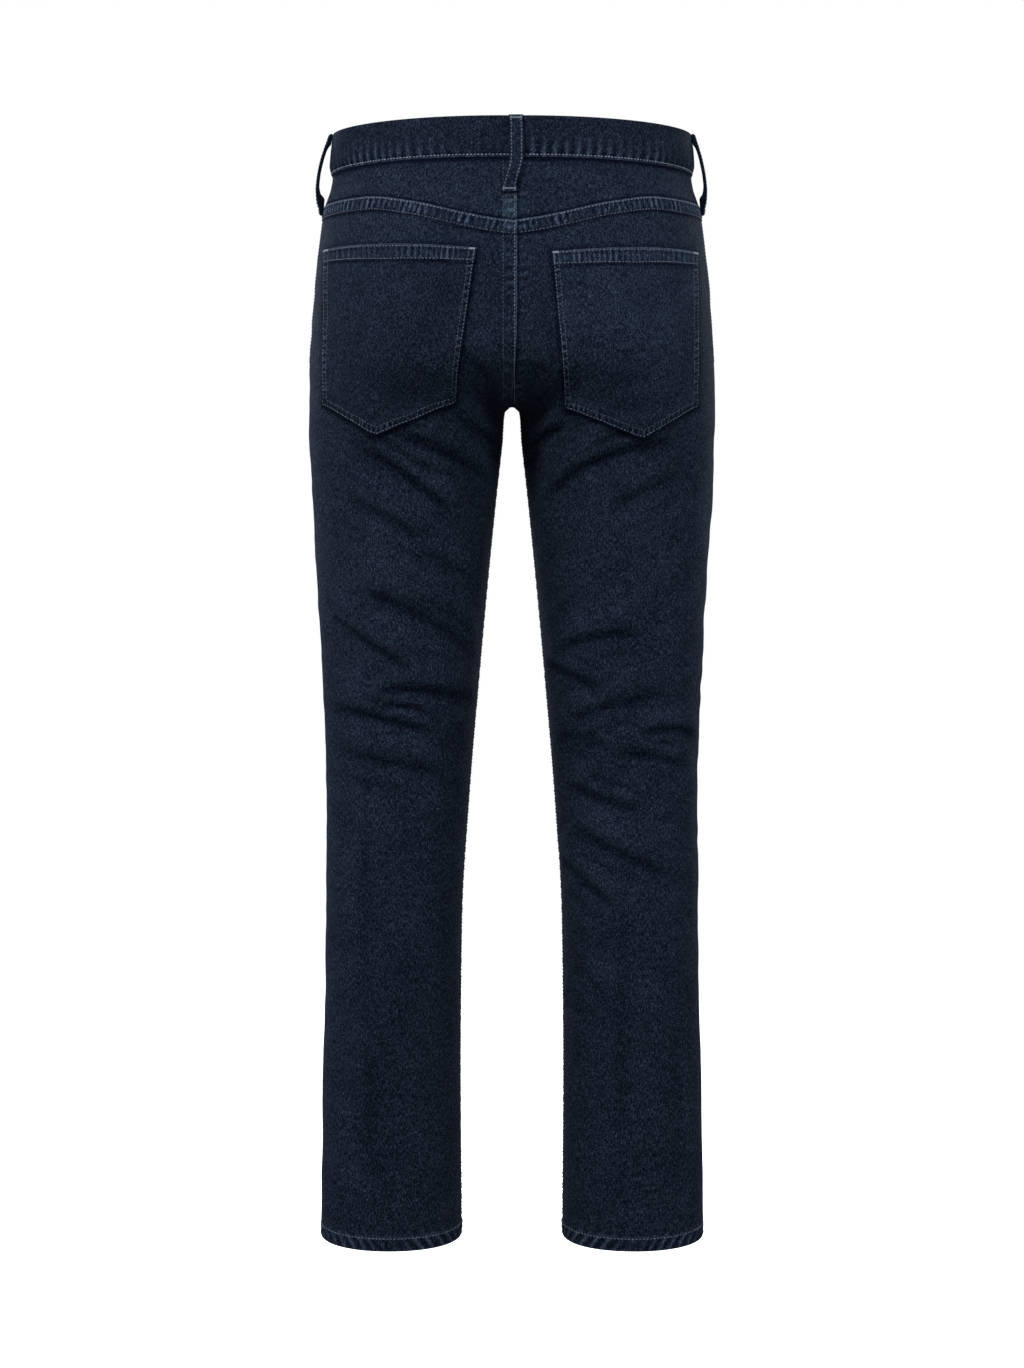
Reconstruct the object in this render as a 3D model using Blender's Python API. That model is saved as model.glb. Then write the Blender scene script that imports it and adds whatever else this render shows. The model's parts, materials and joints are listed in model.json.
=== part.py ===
"""Slim ankle jeans, hollow and filled out as if worn, hanging from the waist.

Metres, +Z up. The back of the jeans faces -Y and the wearer's right side is +X. The origin is the centre of
the waist, at the middle height of the waistband. Every piece is a cloth wall of its real thickness, and each
lies on one surface, which is worked out from the level sections below. Lengths in this file are millimetres.
A drop is measured down from the waistband's top edge at the side seam.
"""

import math

import bmesh
import bpy
import numpy as np

MM = 0.001

# Waistband, cloth and seams
BAND_HEIGHT = 38.0
BAND_WALL = 2.6
BAND_PROUD = 0.4
BAND_UNDERLAP = 30.0
BAND_OVERLAP = 14.0
BAND_LIFT_LENGTH = 26.0
CLOTH = 1.2
SEAM_GAP = 0.3
FELL_WIDTH = 12.5
FELL_RISE = 0.8

# The left half reaches over the right one by this much, fading out between two rows above the crotch
LAP_WIDTH = {"back": 3.8, "front": 6.0}
LAP_FADES_FROM = {"back": 205.0, "front": 150.0}
LAP_ENDS = 250.0

# Leg ends
HEM_DROP = 1008.0
HEM_DEPTH = 12.5
HEM_WALL = 2.6
HEM_RISE = 0.3
HEM_STEP = 0.6
HEM_DIP_BACK = 9.2
HEM_DIP_FRONT = -8.0
HEM_DIP_STARTS = 840.0

# Where the seat seam and the inseam meet, as a row of the section table
CROTCH = 260.0
FORK_SOFTNESS = 26.0

# Rows of the panels near the crotch, from it
FORK_ROWS = (-18.0, -10.0, -4.0, 0.0, 3.0, 8.0, 16.0, 28.0)
ABOVE_FORK = 28.0
BELOW_FORK = 42.0

# Drop over which the curved top edge of a panel fades into level rows
TOP_EDGE_FADES = {"back": 150.0, "front": 190.0}

# Curved front pocket mouth: along the waist seam and down the side seam
MOUTH_ACROSS = 92.0
MOUTH_DOWN = 74.0
FACING_MARGIN = 16.0
FACING_GAP = 0.5
FACING_ROWS = 6

# Belt loops
LOOP_WIDTH = 12.6
LOOP_WALL = 2.0
LOOP_END_WALL = 3.2

LOOP_STATIONS = np.concatenate([[0.0, 0.05], np.linspace(0.12, 0.9, 11), [0.95, 1.0]])

# Over 1, it puts the widest gap under a loop below its middle
BOW_LOW = 1.35

# Back pockets and waist button
POCKET_CLOTH = 1.2
POCKET_GAP = 0.35
POCKET_STEP = 0.7
BUTTON_SEAT = 19.0
BUTTON_SIDES = 20

# Height above the band and radius
BUTTON_PROFILE = ((0.0, 5.0), (1.8, 5.0), (2.2, 8.5), (3.4, 8.2), (4.3, 4.8))

# Level sections of the right half. x is across and y is front to back, with the back at minus.
# The back and front peaks are the rearmost and foremost points. The inner end is on the centre seams down
# to the crotch and on the inseam below it. Turn is how far the section has turned there, in degrees.
SECTION_COLUMNS = (
    "drop", "side_x", "side_y", "back_x", "back_y", "front_x", "front_y",
    "inner_x", "back_end_y", "front_end_y", "back_end_drop", "front_end_drop", "turn",
)
SECTIONS = (
    (0.0, 164.7, 0.0, 12.0, -103.2, 42.0, 100.0, 0.0, -103.0, 99.5, -1.5, 8.0, 0.0),
    (28.0, 167.2, 0.0, 20.0, -106.7, 44.0, 103.0, 0.0, -106.5, 102.4, 26.6, 36.0, 0.0),
    (38.0, 164.8, 0.0, 24.0, -107.8, 46.0, 104.0, 0.0, -107.6, 103.2, 36.6, 46.0, 0.0),
    (50.0, 166.5, 0.0, 30.0, -110.6, 48.0, 105.3, 0.0, -110.2, 104.2, 48.8, 57.5, 0.0),
    (66.0, 171.6, 0.0, 38.0, -114.2, 51.0, 106.5, 0.0, -113.2, 105.2, 65.0, 73.0, 0.0),
    (96.0, 176.2, 0.0, 50.0, -121.0, 56.0, 108.5, 0.0, -119.2, 106.6, 95.2, 101.5, 0.0),
    (150.0, 181.7, 0.0, 68.0, -130.0, 65.0, 110.0, 0.0, -127.0, 106.8, 149.6, 153.0, 0.0),
    (200.0, 185.0, 0.0, 80.0, -133.5, 75.0, 106.5, 0.0, -125.5, 97.5, 200.0, 202.0, 10.0),
    (212.0, 185.5, -0.2, 82.5, -132.8, 78.0, 105.0, 0.0, -119.0, 89.0, 213.5, 214.5, 21.0),
    (224.0, 185.9, -0.4, 85.0, -131.0, 80.5, 103.3, 0.0, -107.0, 76.0, 226.0, 226.0, 34.0),
    (234.0, 186.2, -0.6, 87.0, -128.8, 83.0, 101.7, 0.0, -88.0, 59.0, 235.5, 235.0, 47.0),
    (243.0, 186.3, -0.8, 88.5, -126.2, 85.0, 100.2, 0.0, -63.0, 39.0, 243.0, 242.0, 59.0),
    (251.0, 186.3, -0.9, 90.0, -123.4, 86.5, 98.7, 0.0, -35.0, 17.0, 247.5, 247.0, 70.0),
    (260.0, 186.2, -1.0, 91.0, -120.0, 88.0, 97.0, 0.0, -6.0, -6.0, 250.0, 250.0, 79.0),
    (268.0, 186.0, -1.0, 92.0, -117.0, 89.0, 95.4, 6.3, -6.0, -6.0, 256.5, 256.5, 85.0),
    (286.0, 185.6, -1.2, 93.5, -111.0, 91.0, 92.0, 9.0, -6.2, -6.2, 280.0, 280.0, 90.0),
    (330.0, 183.8, -1.6, 96.0, -100.0, 94.0, 86.0, 14.4, -6.8, -6.8, 329.0, 329.0, 90.0),
    (400.0, 179.4, -2.0, 98.0, -90.0, 98.0, 80.0, 21.6, -7.0, -7.0, 400.0, 400.0, 90.0),
    (500.0, 173.9, -2.0, 100.0, -76.0, 101.0, 74.5, 30.8, -5.0, -5.0, 500.0, 500.0, 90.0),
    (611.0, 170.2, -2.0, 104.0, -64.5, 105.0, 69.0, 40.0, -2.5, -2.5, 611.0, 611.0, 90.0),
    (720.0, 170.7, -3.0, 108.0, -66.0, 109.0, 59.0, 46.4, -3.0, -3.0, 720.0, 720.0, 90.0),
    (860.0, 173.1, -3.5, 110.0, -60.0, 110.0, 52.0, 47.5, -3.5, -3.5, 860.0, 860.0, 90.0),
    (1008.0, 175.3, -3.5, 111.0, -53.0, 111.0, 47.0, 46.4, -3.5, -3.5, 1008.0, 1008.0, 90.0),
)

# Seam under the yoke: share of the way round from the side seam to the centre seam, and drop
YOKE_SEAM_COLUMNS = ("around", "drop")
YOKE_SEAM = ((0.0, 66.0), (0.2, 67.4), (0.44, 68.6), (0.63, 76.0), (0.86, 89.8), (1.0, 95.0))

# Corners of the patch pockets, from the inner top corner round to the outer one
POCKET_COLUMNS = ("corner", "across", "drop")
POCKETS = {
    "left": (
        ("inner top", 31.0, 119.6), ("inner bottom", 51.0, 255.0), ("tip", 121.5, 285.0),
        ("outer bottom", 169.5, 253.5), ("outer top", 169.8, 111.5),
    ),
    "right": (
        ("inner top", 34.8, 123.0), ("inner bottom", 47.6, 259.5), ("tip", 115.5, 287.5),
        ("outer bottom", 166.5, 256.0), ("outer top", 167.5, 114.5),
    ),
}

# Largest folds: where each trough starts, bends and ends as across and drop, its depth and its width
FOLD_COLUMNS = (
    "side", "face", "from_x", "from_drop", "by_x", "by_drop", "to_x", "to_drop", "depth", "width",
)
FOLDS = (
    ("left", "back", 108, 282, 62, 298, 22, 318, 3.2, 11),
    ("left", "back", 131, 293, 96, 318, 54, 354, 3.4, 12),
    ("left", "back", 146, 338, 110, 352, 78, 382, 2.2, 13),
    ("left", "back", 84, 386, 60, 394, 38, 408, 1.8, 14),
    ("left", "back", 132, 419, 92, 436, 38, 478, 2.6, 14),
    ("left", "back", 163, 442, 130, 464, 88, 496, 3.2, 11),
    ("left", "back", 126, 512, 82, 506, 36, 520, 3.0, 11),
    ("left", "back", 160, 524, 118, 534, 72, 550, 3.0, 11),
    ("left", "back", 158, 564, 112, 576, 64, 585, 2.2, 13),
    ("left", "back", 52, 262, 30, 270, 14, 284, 3.0, 9),
    ("right", "back", 27, 340, 84, 292, 148, 288, 3.2, 12),
    ("right", "back", 86, 346, 116, 332, 150, 314, 1.8, 12),
    ("right", "back", 41, 476, 80, 458, 118, 462, 2.6, 13),
    ("right", "back", 33, 486, 56, 496, 86, 510, 2.8, 11),
    ("right", "back", 50, 538, 90, 526, 144, 510, 2.2, 14),
    ("right", "back", 114, 549, 144, 543, 168, 551, 3.2, 9),
    ("right", "back", 46, 549, 66, 556, 88, 562, 2.4, 11),
    ("right", "back", 50, 594, 82, 610, 116, 619, 2.6, 12),
    ("right", "back", 56, 632, 98, 662, 142, 676, 2.8, 14),
    ("right", "back", 46, 662, 68, 684, 92, 706, 2.6, 13),
    ("right", "back", 14, 284, 30, 278, 50, 272, 2.8, 9),
    ("left", "front", 152, 232, 100, 262, 44, 316, 2.2, 15),
    ("left", "front", 30, 268, 58, 286, 92, 322, 1.8, 14),
    ("left", "front", 158, 300, 118, 318, 76, 352, 2.4, 14),
    ("left", "front", 156, 520, 108, 536, 60, 528, 2.6, 13),
    ("left", "front", 150, 590, 112, 600, 70, 594, 2.4, 14),
    ("left", "front", 154, 690, 118, 706, 80, 710, 1.8, 16),
    ("right", "front", 156, 226, 106, 254, 40, 306, 2.2, 15),
    ("right", "front", 34, 274, 62, 296, 88, 336, 1.8, 14),
    ("right", "front", 160, 316, 122, 328, 70, 366, 2.2, 14),
    ("right", "front", 158, 534, 112, 528, 58, 546, 2.6, 13),
    ("right", "front", 152, 604, 106, 610, 66, 600, 2.4, 14),
    ("right", "front", 148, 668, 110, 688, 72, 700, 1.8, 16),
)
FOLD_STATIONS = 9
RIDGE_SHARE = 0.55

# Belt loops: half, face, share of the way round at the top and at the end, how far it stands off, and length
LOOP_COLUMNS = ("name", "side", "face", "top_around", "end_around", "bow", "length")
LOOPS = (
    ("belt_loop_centre_back", "right", "back", 0.983, 1.008, 2.6, 67.0),
    ("belt_loop_side_left", "left", "back", 0.034, 0.034, 9.0, 71.0),
    ("belt_loop_side_right", "right", "back", 0.034, 0.034, 7.6, 71.0),
    ("belt_loop_front_left", "left", "front", 0.47, 0.47, 5.0, 68.0),
    ("belt_loop_front_right", "right", "front", 0.47, 0.47, 5.4, 68.0),
)

# Columns of the back panels and yokes, as shares of the way from the side seam to the centre seam,
# and of the front panels across the pocket mouth, as shares of its width. Rows of the panels lie this far apart.
FELL_SHARE = 0.95
BACK_SHARES = np.concatenate([np.linspace(0.0, 0.92, 13), [FELL_SHARE, 1.0]])
MOUTH_STEPS = (0.0, 0.22, 0.43, 0.62, 0.8, 0.93, 1.0)
FRONT_CELLS = 6
YOKE_ROWS = 4
BAND_LEVELS = (0.0, 14.0, 28.0, BAND_HEIGHT - SEAM_GAP / 2)
ROW_STEP = 23.0

# Colour, roughness and how metallic
FINISHES = {
    "panel": ((0.018, 0.024, 0.036), 0.82, 0.0),
    "yoke": ((0.020, 0.027, 0.040), 0.82, 0.0),
    "band": ((0.022, 0.029, 0.042), 0.82, 0.0),
    "pocket": ((0.019, 0.025, 0.037), 0.82, 0.0),
    "loop": ((0.024, 0.031, 0.044), 0.82, 0.0),
    "button": ((0.42, 0.40, 0.37), 0.35, 1.0),
}
SHARP_ANGLE = 60.0

OTHER_FACE = {"back": "front", "front": "back"}
HALF = {"left": -1.0, "right": 1.0}


def column(table, names, name, at):
    """Monotone cubic through one column of a table, by its first column."""
    rows = np.array([[row[0], row[names.index(name)]] for row in table], float)
    places, values = rows[:, 0], rows[:, 1]
    step = np.diff(places)
    slope = np.diff(values) / step
    before, after = slope[:-1], slope[1:]
    early = 2.0 * step[1:] + step[:-1]
    late = step[1:] + 2.0 * step[:-1]
    inside = np.zeros(len(before))
    same = before * after > 0.0
    weighted = early[same] / before[same] + late[same] / after[same]
    inside[same] = (early + late)[same] / weighted
    tangent = np.concatenate([slope[:1], inside, slope[-1:]])
    at = np.asarray(at, float)
    cell = np.clip(np.searchsorted(places, at, side="right") - 1, 0, len(step) - 1)
    t = (at - places[cell]) / step[cell]
    start = values[cell] * (1 + 2 * t) * (1 - t) ** 2 + tangent[cell] * step[cell] * t * (1 - t) ** 2
    finish = values[cell + 1] * t**2 * (3 - 2 * t) + tangent[cell + 1] * step[cell] * t**2 * (t - 1)
    return start + finish


def section(name, drop):
    return column(SECTIONS, SECTION_COLUMNS, name, drop)


def eased(value, start, finish):
    """0 before start and 1 after finish, with a soft change between."""
    t = np.clip((np.asarray(value, float) - start) / (finish - start), 0.0, 1.0)
    return t * t * (3 - 2 * t)


def bezier(start, first, second, finish, t):
    t = t[..., None]
    rest = 1 - t
    return start * rest**3 + 3 * first * rest**2 * t + 3 * second * rest * t**2 + finish * t**3


def plain_section(face, around, drop):
    """Points of the right half as x, y and drop: side seam to peak, then peak to the inner end."""
    round_handle, flat_handle = 0.5523, 0.4
    zero = np.zeros_like(drop)
    side = np.stack([section("side_x", drop), section("side_y", drop), drop], axis=-1)
    peak = np.stack([section(face + "_x", drop), section(face + "_y", drop), drop], axis=-1)
    end_y, end_drop = section(face + "_end_y", drop), section(face + "_end_drop", drop)
    end = np.stack([section("inner_x", drop), end_y, drop], axis=-1)
    turn = np.radians(section("turn", drop))
    turned = turn / (math.pi / 2)
    reach = np.abs(end - peak)
    forward = -1.0 if face == "front" else 1.0

    ahead = drop + 0.5
    run = section(face + "_end_y", ahead) - end_y
    fall = section(face + "_end_drop", ahead) - end_drop
    still = np.abs(run) < 0.05
    seam_slope = np.where(still, 0.0, fall / np.where(still, 1.0, run)) * forward
    seam_slope = np.clip(seam_slope, 0.0, 0.4) * (1 - eased(drop, CROTCH - 22, CROTCH - 4))

    side_handle = side + np.stack([zero, round_handle * (peak - side)[..., 1], zero], axis=-1)
    peak_out = peak + np.stack([round_handle * (side - peak)[..., 0], zero, zero], axis=-1)
    grip = flat_handle + (round_handle - flat_handle) * turned
    peak_in = peak - np.stack([grip * reach[..., 0], zero, zero], axis=-1)
    grip_end = (1 - turned) * flat_handle * reach[..., 0] + turned * round_handle * reach[..., 1]
    heading = np.stack([-np.cos(turn), forward * np.sin(turn), seam_slope * np.sin(turn)], axis=-1)
    end_handle = end - heading * grip_end[..., None]

    spans = np.abs(peak - side)
    outer_length = math.pi / 2 * np.sqrt((spans[..., 0] ** 2 + spans[..., 1] ** 2) / 2)
    inner_length = np.hypot(reach[..., 0], reach[..., 1]) * (1 + 0.11 * turned)
    split = outer_length / (outer_length + inner_length)
    outer_t = np.clip(around / split, 0.0, 1.0)
    inner_t = np.clip((around - split) / (1 - split), 0.0, 1.0)
    outer = bezier(side, side_handle, peak_out, peak, outer_t)
    inner = bezier(peak, peak_in, end_handle, end, inner_t)
    points = np.where((around < split)[..., None], outer, inner)

    dip = HEM_DIP_BACK if face == "back" else HEM_DIP_FRONT
    points[..., 2] += dip * eased(drop, HEM_DIP_STARTS, HEM_DROP) * 4 * around * (1 - around)
    points[..., 2] += (end_drop - drop) * eased(around, 0.0, 1.0)
    return points


def half_section(face, around, drop):
    """The plain section, averaged with those above and below where seat and thigh meet, to round that fork."""
    window = eased(drop, CROTCH - 55, CROTCH - 22) * (1 - eased(drop, CROTCH + 24, CROTCH + 70))
    reach = FORK_SOFTNESS * window * (1 - np.clip(around, 0.0, 1.0) ** 6)
    total = 6 * plain_section(face, around, drop)
    for weight, shift in ((4, -0.5), (4, 0.5), (1, -1.0), (1, 1.0)):
        total = total + weight * plain_section(face, around, drop + shift * reach)
    return total / 16


def surface(side, face, around, drop):
    """Outer face of the cloth. Past either end of its panel it goes on along the next one."""
    around, drop = np.broadcast_arrays(np.asarray(around, float), np.asarray(drop, float))
    past_side = around < 0
    past_inner = around > 1
    crossed = past_inner & (drop <= CROTCH)
    swapped = past_side | (past_inner & (drop > CROTCH))
    within = np.where(past_side, -around, np.where(past_inner, 2 - around, around))
    own = half_section(face, within, drop)
    other = half_section(OTHER_FACE[face], within, drop)
    points = np.where(swapped[..., None], other, own)
    points[..., 0] *= HALF[side] * np.where(crossed, -1.0, 1.0)
    points[..., 2] = BAND_HEIGHT / 2 - points[..., 2]
    return points


def normals(side, face, around, drop):
    """Directions out of the cloth, shared by the panels that meet at a seam."""
    around, drop = np.broadcast_arrays(np.asarray(around, float), np.asarray(drop, float))
    share, down = 0.004, 0.5
    across = surface(side, face, around + share, drop) - surface(side, face, around - share, drop)
    along = surface(side, face, around, drop + down) - surface(side, face, around, drop - down)
    out = np.cross(across, along)
    out *= HALF[side] * (1.0 if face == "back" else -1.0)
    length = np.linalg.norm(out, axis=-1, keepdims=True)
    out /= np.maximum(length, 1e-9)
    at_crotch = (np.abs(around - 1) < 0.02) & (np.abs(drop - CROTCH) < 2.0)
    out[at_crotch] = (0.0, 0.0, -1.0)
    return out


def girth(face, drop):
    """Length of a section from the side seam to its inner end."""
    drop = np.atleast_1d(np.asarray(drop, float))
    around = np.linspace(0.0, 1.0, 49)[:, None]
    points = surface("right", face, around, drop[None, :])
    return np.linalg.norm(np.diff(points, axis=0), axis=-1).sum(axis=0)


def locate(face, across, drop):
    """Share of the way round, and row, of the place that lies at this x and this drop."""
    samples = np.linspace(0.0, 1.0, 121)
    row = float(drop)
    around = 0.5
    for _ in range(4):
        points = surface("right", face, samples, row)
        around = float(np.interp(-across, -points[:, 0], samples))
        level = BAND_HEIGHT / 2 - float(np.interp(around, samples, points[:, 2]))
        row += drop - level
    return around, row


def fold_path(fold):
    """Points along a fold's trough, on the surface."""
    entry = dict(zip(FOLD_COLUMNS, fold))
    t = np.linspace(0.0, 1.0, FOLD_STATIONS)
    across = (1 - t) ** 2 * entry["from_x"] + 2 * t * (1 - t) * entry["by_x"] + t**2 * entry["to_x"]
    drop = (1 - t) ** 2 * entry["from_drop"] + 2 * t * (1 - t) * entry["by_drop"] + t**2 * entry["to_drop"]
    places = np.array([locate(entry["face"], x, d) for x, d in zip(across, drop)])
    path = surface(entry["side"], entry["face"], places[:, 0], places[:, 1])
    return path, entry["depth"], entry["width"]


def fold_heights(points, paths):
    """How far each point moves out: a trough under a ridge for each fold, fading at its ends."""
    height = np.zeros(points.shape[:-1])
    for path, depth, width in paths:
        reach = 4 * width
        near = ((points > path.min(axis=0) - reach) & (points < path.max(axis=0) + reach)).all(axis=-1)
        if not near.any():
            continue
        chosen = points[near]
        best = np.full(len(chosen), np.inf)
        above = np.zeros(len(chosen))
        along = np.zeros(len(chosen))
        for i, (start, finish) in enumerate(zip(path[:-1], path[1:])):
            step = finish - start
            t = np.clip((chosen - start) @ step / (step @ step), 0.0, 1.0)
            offset = chosen - start - t[:, None] * step
            distance = np.linalg.norm(offset, axis=-1)
            closer = distance < best
            best = np.where(closer, distance, best)
            above = np.where(closer, np.sign(offset[:, 2]), above)
            along = np.where(closer, (i + t) / (len(path) - 1), along)
        fade = eased(along, -0.02, 0.3) * (1 - eased(along, 0.7, 1.02))
        apart = best * above / width
        trough = np.exp(-((apart + 0.3) ** 2))
        ridge = np.exp(-(((apart - 1.7) / 1.2) ** 2))
        height[near] += depth * fade * (RIDGE_SHARE * ridge - trough)
    return height


def own_material(name, finish):
    colour, roughness, metallic = FINISHES[finish]
    material = bpy.data.materials.new(name)
    material.use_nodes = True
    shader = material.node_tree.nodes["Principled BSDF"]
    shader.inputs["Base Color"].default_value = (*colour, 1.0)
    shader.inputs["Roughness"].default_value = roughness
    shader.inputs["Metallic"].default_value = metallic
    return material


def add_object(name, builder, finish):
    mesh = bpy.data.meshes.new(name)
    bmesh.ops.recalc_face_normals(builder, faces=builder.faces)
    if builder.calc_volume(signed=True) < 0:
        bmesh.ops.reverse_faces(builder, faces=builder.faces)
    builder.to_mesh(mesh)
    builder.free()
    mesh.materials.append(own_material(name, finish))
    mesh.shade_smooth()
    mesh.set_sharp_from_angle(angle=math.radians(SHARP_ANGLE))
    item = bpy.data.objects.new(name, mesh)
    bpy.context.scene.collection.objects.link(item)
    return item


def add_grid(builder, points):
    """Triangles through a grid of points, rows by columns, all cut along the same diagonal."""
    rows, columns = points.shape[:2]
    grid = [[builder.verts.new(points[r, c] * MM) for c in range(columns)] for r in range(rows)]
    for r in range(rows - 1):
        for c in range(columns - 1):
            builder.faces.new((grid[r][c], grid[r][c + 1], grid[r + 1][c + 1]))
            builder.faces.new((grid[r][c], grid[r + 1][c + 1], grid[r + 1][c]))
    return grid


def cloth_wall(name, outer, inner, finish):
    """A closed wall between two grids of points, rows by columns."""
    builder = bmesh.new()
    rows, columns = outer.shape[:2]
    out, back = add_grid(builder, outer), add_grid(builder, inner)
    for c in range(columns - 1):
        for r in (0, rows - 1):
            builder.faces.new((out[r][c], out[r][c + 1], back[r][c + 1], back[r][c]))
    for r in range(rows - 1):
        for c in (0, columns - 1):
            builder.faces.new((out[r][c], out[r + 1][c], back[r + 1][c], back[r][c]))
    return add_object(name, builder, finish)


def wall_on_surface(name, side, face, around, drop, rise, wall, paths, finish):
    """A wall whose outer face lies on the surface, moved out by the folds and by rise."""
    base = surface(side, face, around, drop)
    out = normals(side, face, around, drop)
    height = fold_heights(base, paths)[..., None] * out
    outer = base + height + out * rise[..., None]
    inner = base + height - out * wall[..., None]
    cloth_wall(name, outer, inner, finish)
    return outer


def lap(side, face, drop):
    """How far the inner edge lies from the middle: the left half reaches over the right one."""
    over = LAP_WIDTH[face] * (1 - eased(drop, LAP_FADES_FROM[face], LAP_ENDS))
    return over * -HALF[side]


def edges_around(side, face, drop):
    """Share of the way round where a panel starts and ends, half a gap clear of its neighbours."""
    half_gap = SEAM_GAP / 2 / girth(face, drop)
    reach = lap(side, face, drop) / girth(face, drop)
    return half_gap, 1 + reach - half_gap


def spread(side, face, shares, drop_rows):
    """Grid of shares of the way round: columns at the given shares between a panel's two edges."""
    start, finish = edges_around(side, face, drop_rows)
    return start[:, None] + (finish - start)[:, None] * shares[None, :]


def yoke_seam_drop(around):
    return column(YOKE_SEAM, YOKE_SEAM_COLUMNS, "drop", np.clip(around, 0.0, 1.0))


def mouth_drop(around):
    """Top edge of a front panel: the waist seam, with the curved pocket mouth near the side seam."""
    share = np.clip(around * girth("front", BAND_HEIGHT)[0] / MOUTH_ACROSS, 0.0, 1.0)
    return BAND_HEIGHT + MOUTH_DOWN * np.sqrt(1 - share**2)


def rows_below(first):
    """Rows from first to the hem, close together at the crotch and at the step of the hem."""
    high_end = CROTCH - ABOVE_FORK
    high = np.linspace(first, high_end, int((high_end - first) / ROW_STEP) + 2)
    fork = CROTCH + np.array(FORK_ROWS)
    low_start, low_end = CROTCH + BELOW_FORK, HEM_DROP - HEM_DEPTH - HEM_STEP
    low = np.linspace(low_start, low_end, int((low_end - low_start) / ROW_STEP) + 1)
    return np.concatenate([high, fork, low, [HEM_DROP - HEM_DEPTH, HEM_DROP]])


def hem_walls(rows):
    at_hem = rows > HEM_DROP - HEM_DEPTH - HEM_STEP / 2
    return np.where(at_hem, HEM_WALL, CLOTH), np.where(at_hem, HEM_RISE, 0.0)


def panel_grid(side, face, rows, shares, top_drop):
    """Shares and drops of a panel whose top edge is a curve and whose other rows are level."""
    around = spread(side, face, shares, rows)
    lift = top_drop(around) + SEAM_GAP / 2 - rows[0]
    fading = np.clip(1 - (rows - rows[0]) / TOP_EDGE_FADES[face], 0.0, 1.0)
    return around, rows[:, None] + lift * fading[:, None]


def back_panel(side, paths):
    """Returns the points of its outer face, which the patch pocket follows."""
    rows = rows_below(YOKE_SEAM[0][1])
    rows = np.insert(rows, 1, rows[0] + FELL_WIDTH)
    shares = BACK_SHARES
    around, drop = panel_grid(side, "back", rows, shares, yoke_seam_drop)
    wall, rise = hem_walls(rows)
    felled = np.zeros_like(around)
    felled[:2, :] = FELL_RISE
    seat_seam = (shares >= FELL_SHARE)[None, :] & (rows < CROTCH - 15)[:, None] & (side == "left")
    felled[seat_seam] = FELL_RISE
    wall = np.broadcast_to(wall[:, None], around.shape)
    name = "back_panel_" + side
    return wall_on_surface(name, side, "back", around, drop, felled + rise[:, None], wall, paths, "panel")


def front_shares():
    edge = MOUTH_ACROSS / girth("front", BAND_HEIGHT)[0]
    return np.concatenate([edge * np.array(MOUTH_STEPS), np.linspace(edge, 1.0, FRONT_CELLS + 1)[1:]])


def front_panel(side, paths):
    rows = rows_below(BAND_HEIGHT)
    shares = front_shares()
    around, drop = panel_grid(side, "front", rows, shares, mouth_drop)
    wall, rise = hem_walls(rows)
    wall = np.broadcast_to(wall[:, None], around.shape)
    rise = np.broadcast_to(rise[:, None], around.shape)
    return wall_on_surface("front_panel_" + side, side, "front", around, drop, rise, wall, paths, "panel")


def yoke(side):
    shares = BACK_SHARES
    levels = np.linspace(0.0, 1.0, YOKE_ROWS)
    rows = BAND_HEIGHT + levels * (YOKE_SEAM[-1][1] - BAND_HEIGHT)
    around = spread(side, "back", shares, rows)
    top, bottom = BAND_HEIGHT + SEAM_GAP / 2, yoke_seam_drop(around) - SEAM_GAP / 2
    drop = top + (bottom - top) * levels[:, None]
    felled = (shares >= FELL_SHARE) & (side == "left")
    rise = np.where(felled, FELL_RISE, 0.0)[None, :] + np.zeros_like(around)
    wall = np.full(around.shape, CLOTH)
    return wall_on_surface("yoke_" + side, side, "back", around, drop, rise, wall, [], "yoke")


def facing(side):
    """Cloth seen through the front pocket mouth, one wall further in than the front panel."""
    shares = front_shares()[:len(MOUTH_STEPS) + 1]
    top = BAND_HEIGHT + SEAM_GAP / 2
    rows = np.linspace(top, top + MOUTH_DOWN + FACING_MARGIN, FACING_ROWS)
    around = spread(side, "front", shares, np.full(len(rows), BAND_HEIGHT))
    drop = np.broadcast_to(rows[:, None], around.shape)
    inset = np.full(around.shape, -(CLOTH + FACING_GAP))
    wall = np.full(around.shape, 2 * CLOTH + FACING_GAP)
    name = "front_pocket_facing_" + side
    return wall_on_surface(name, side, "front", around, drop, inset, wall, [], "panel")


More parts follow.
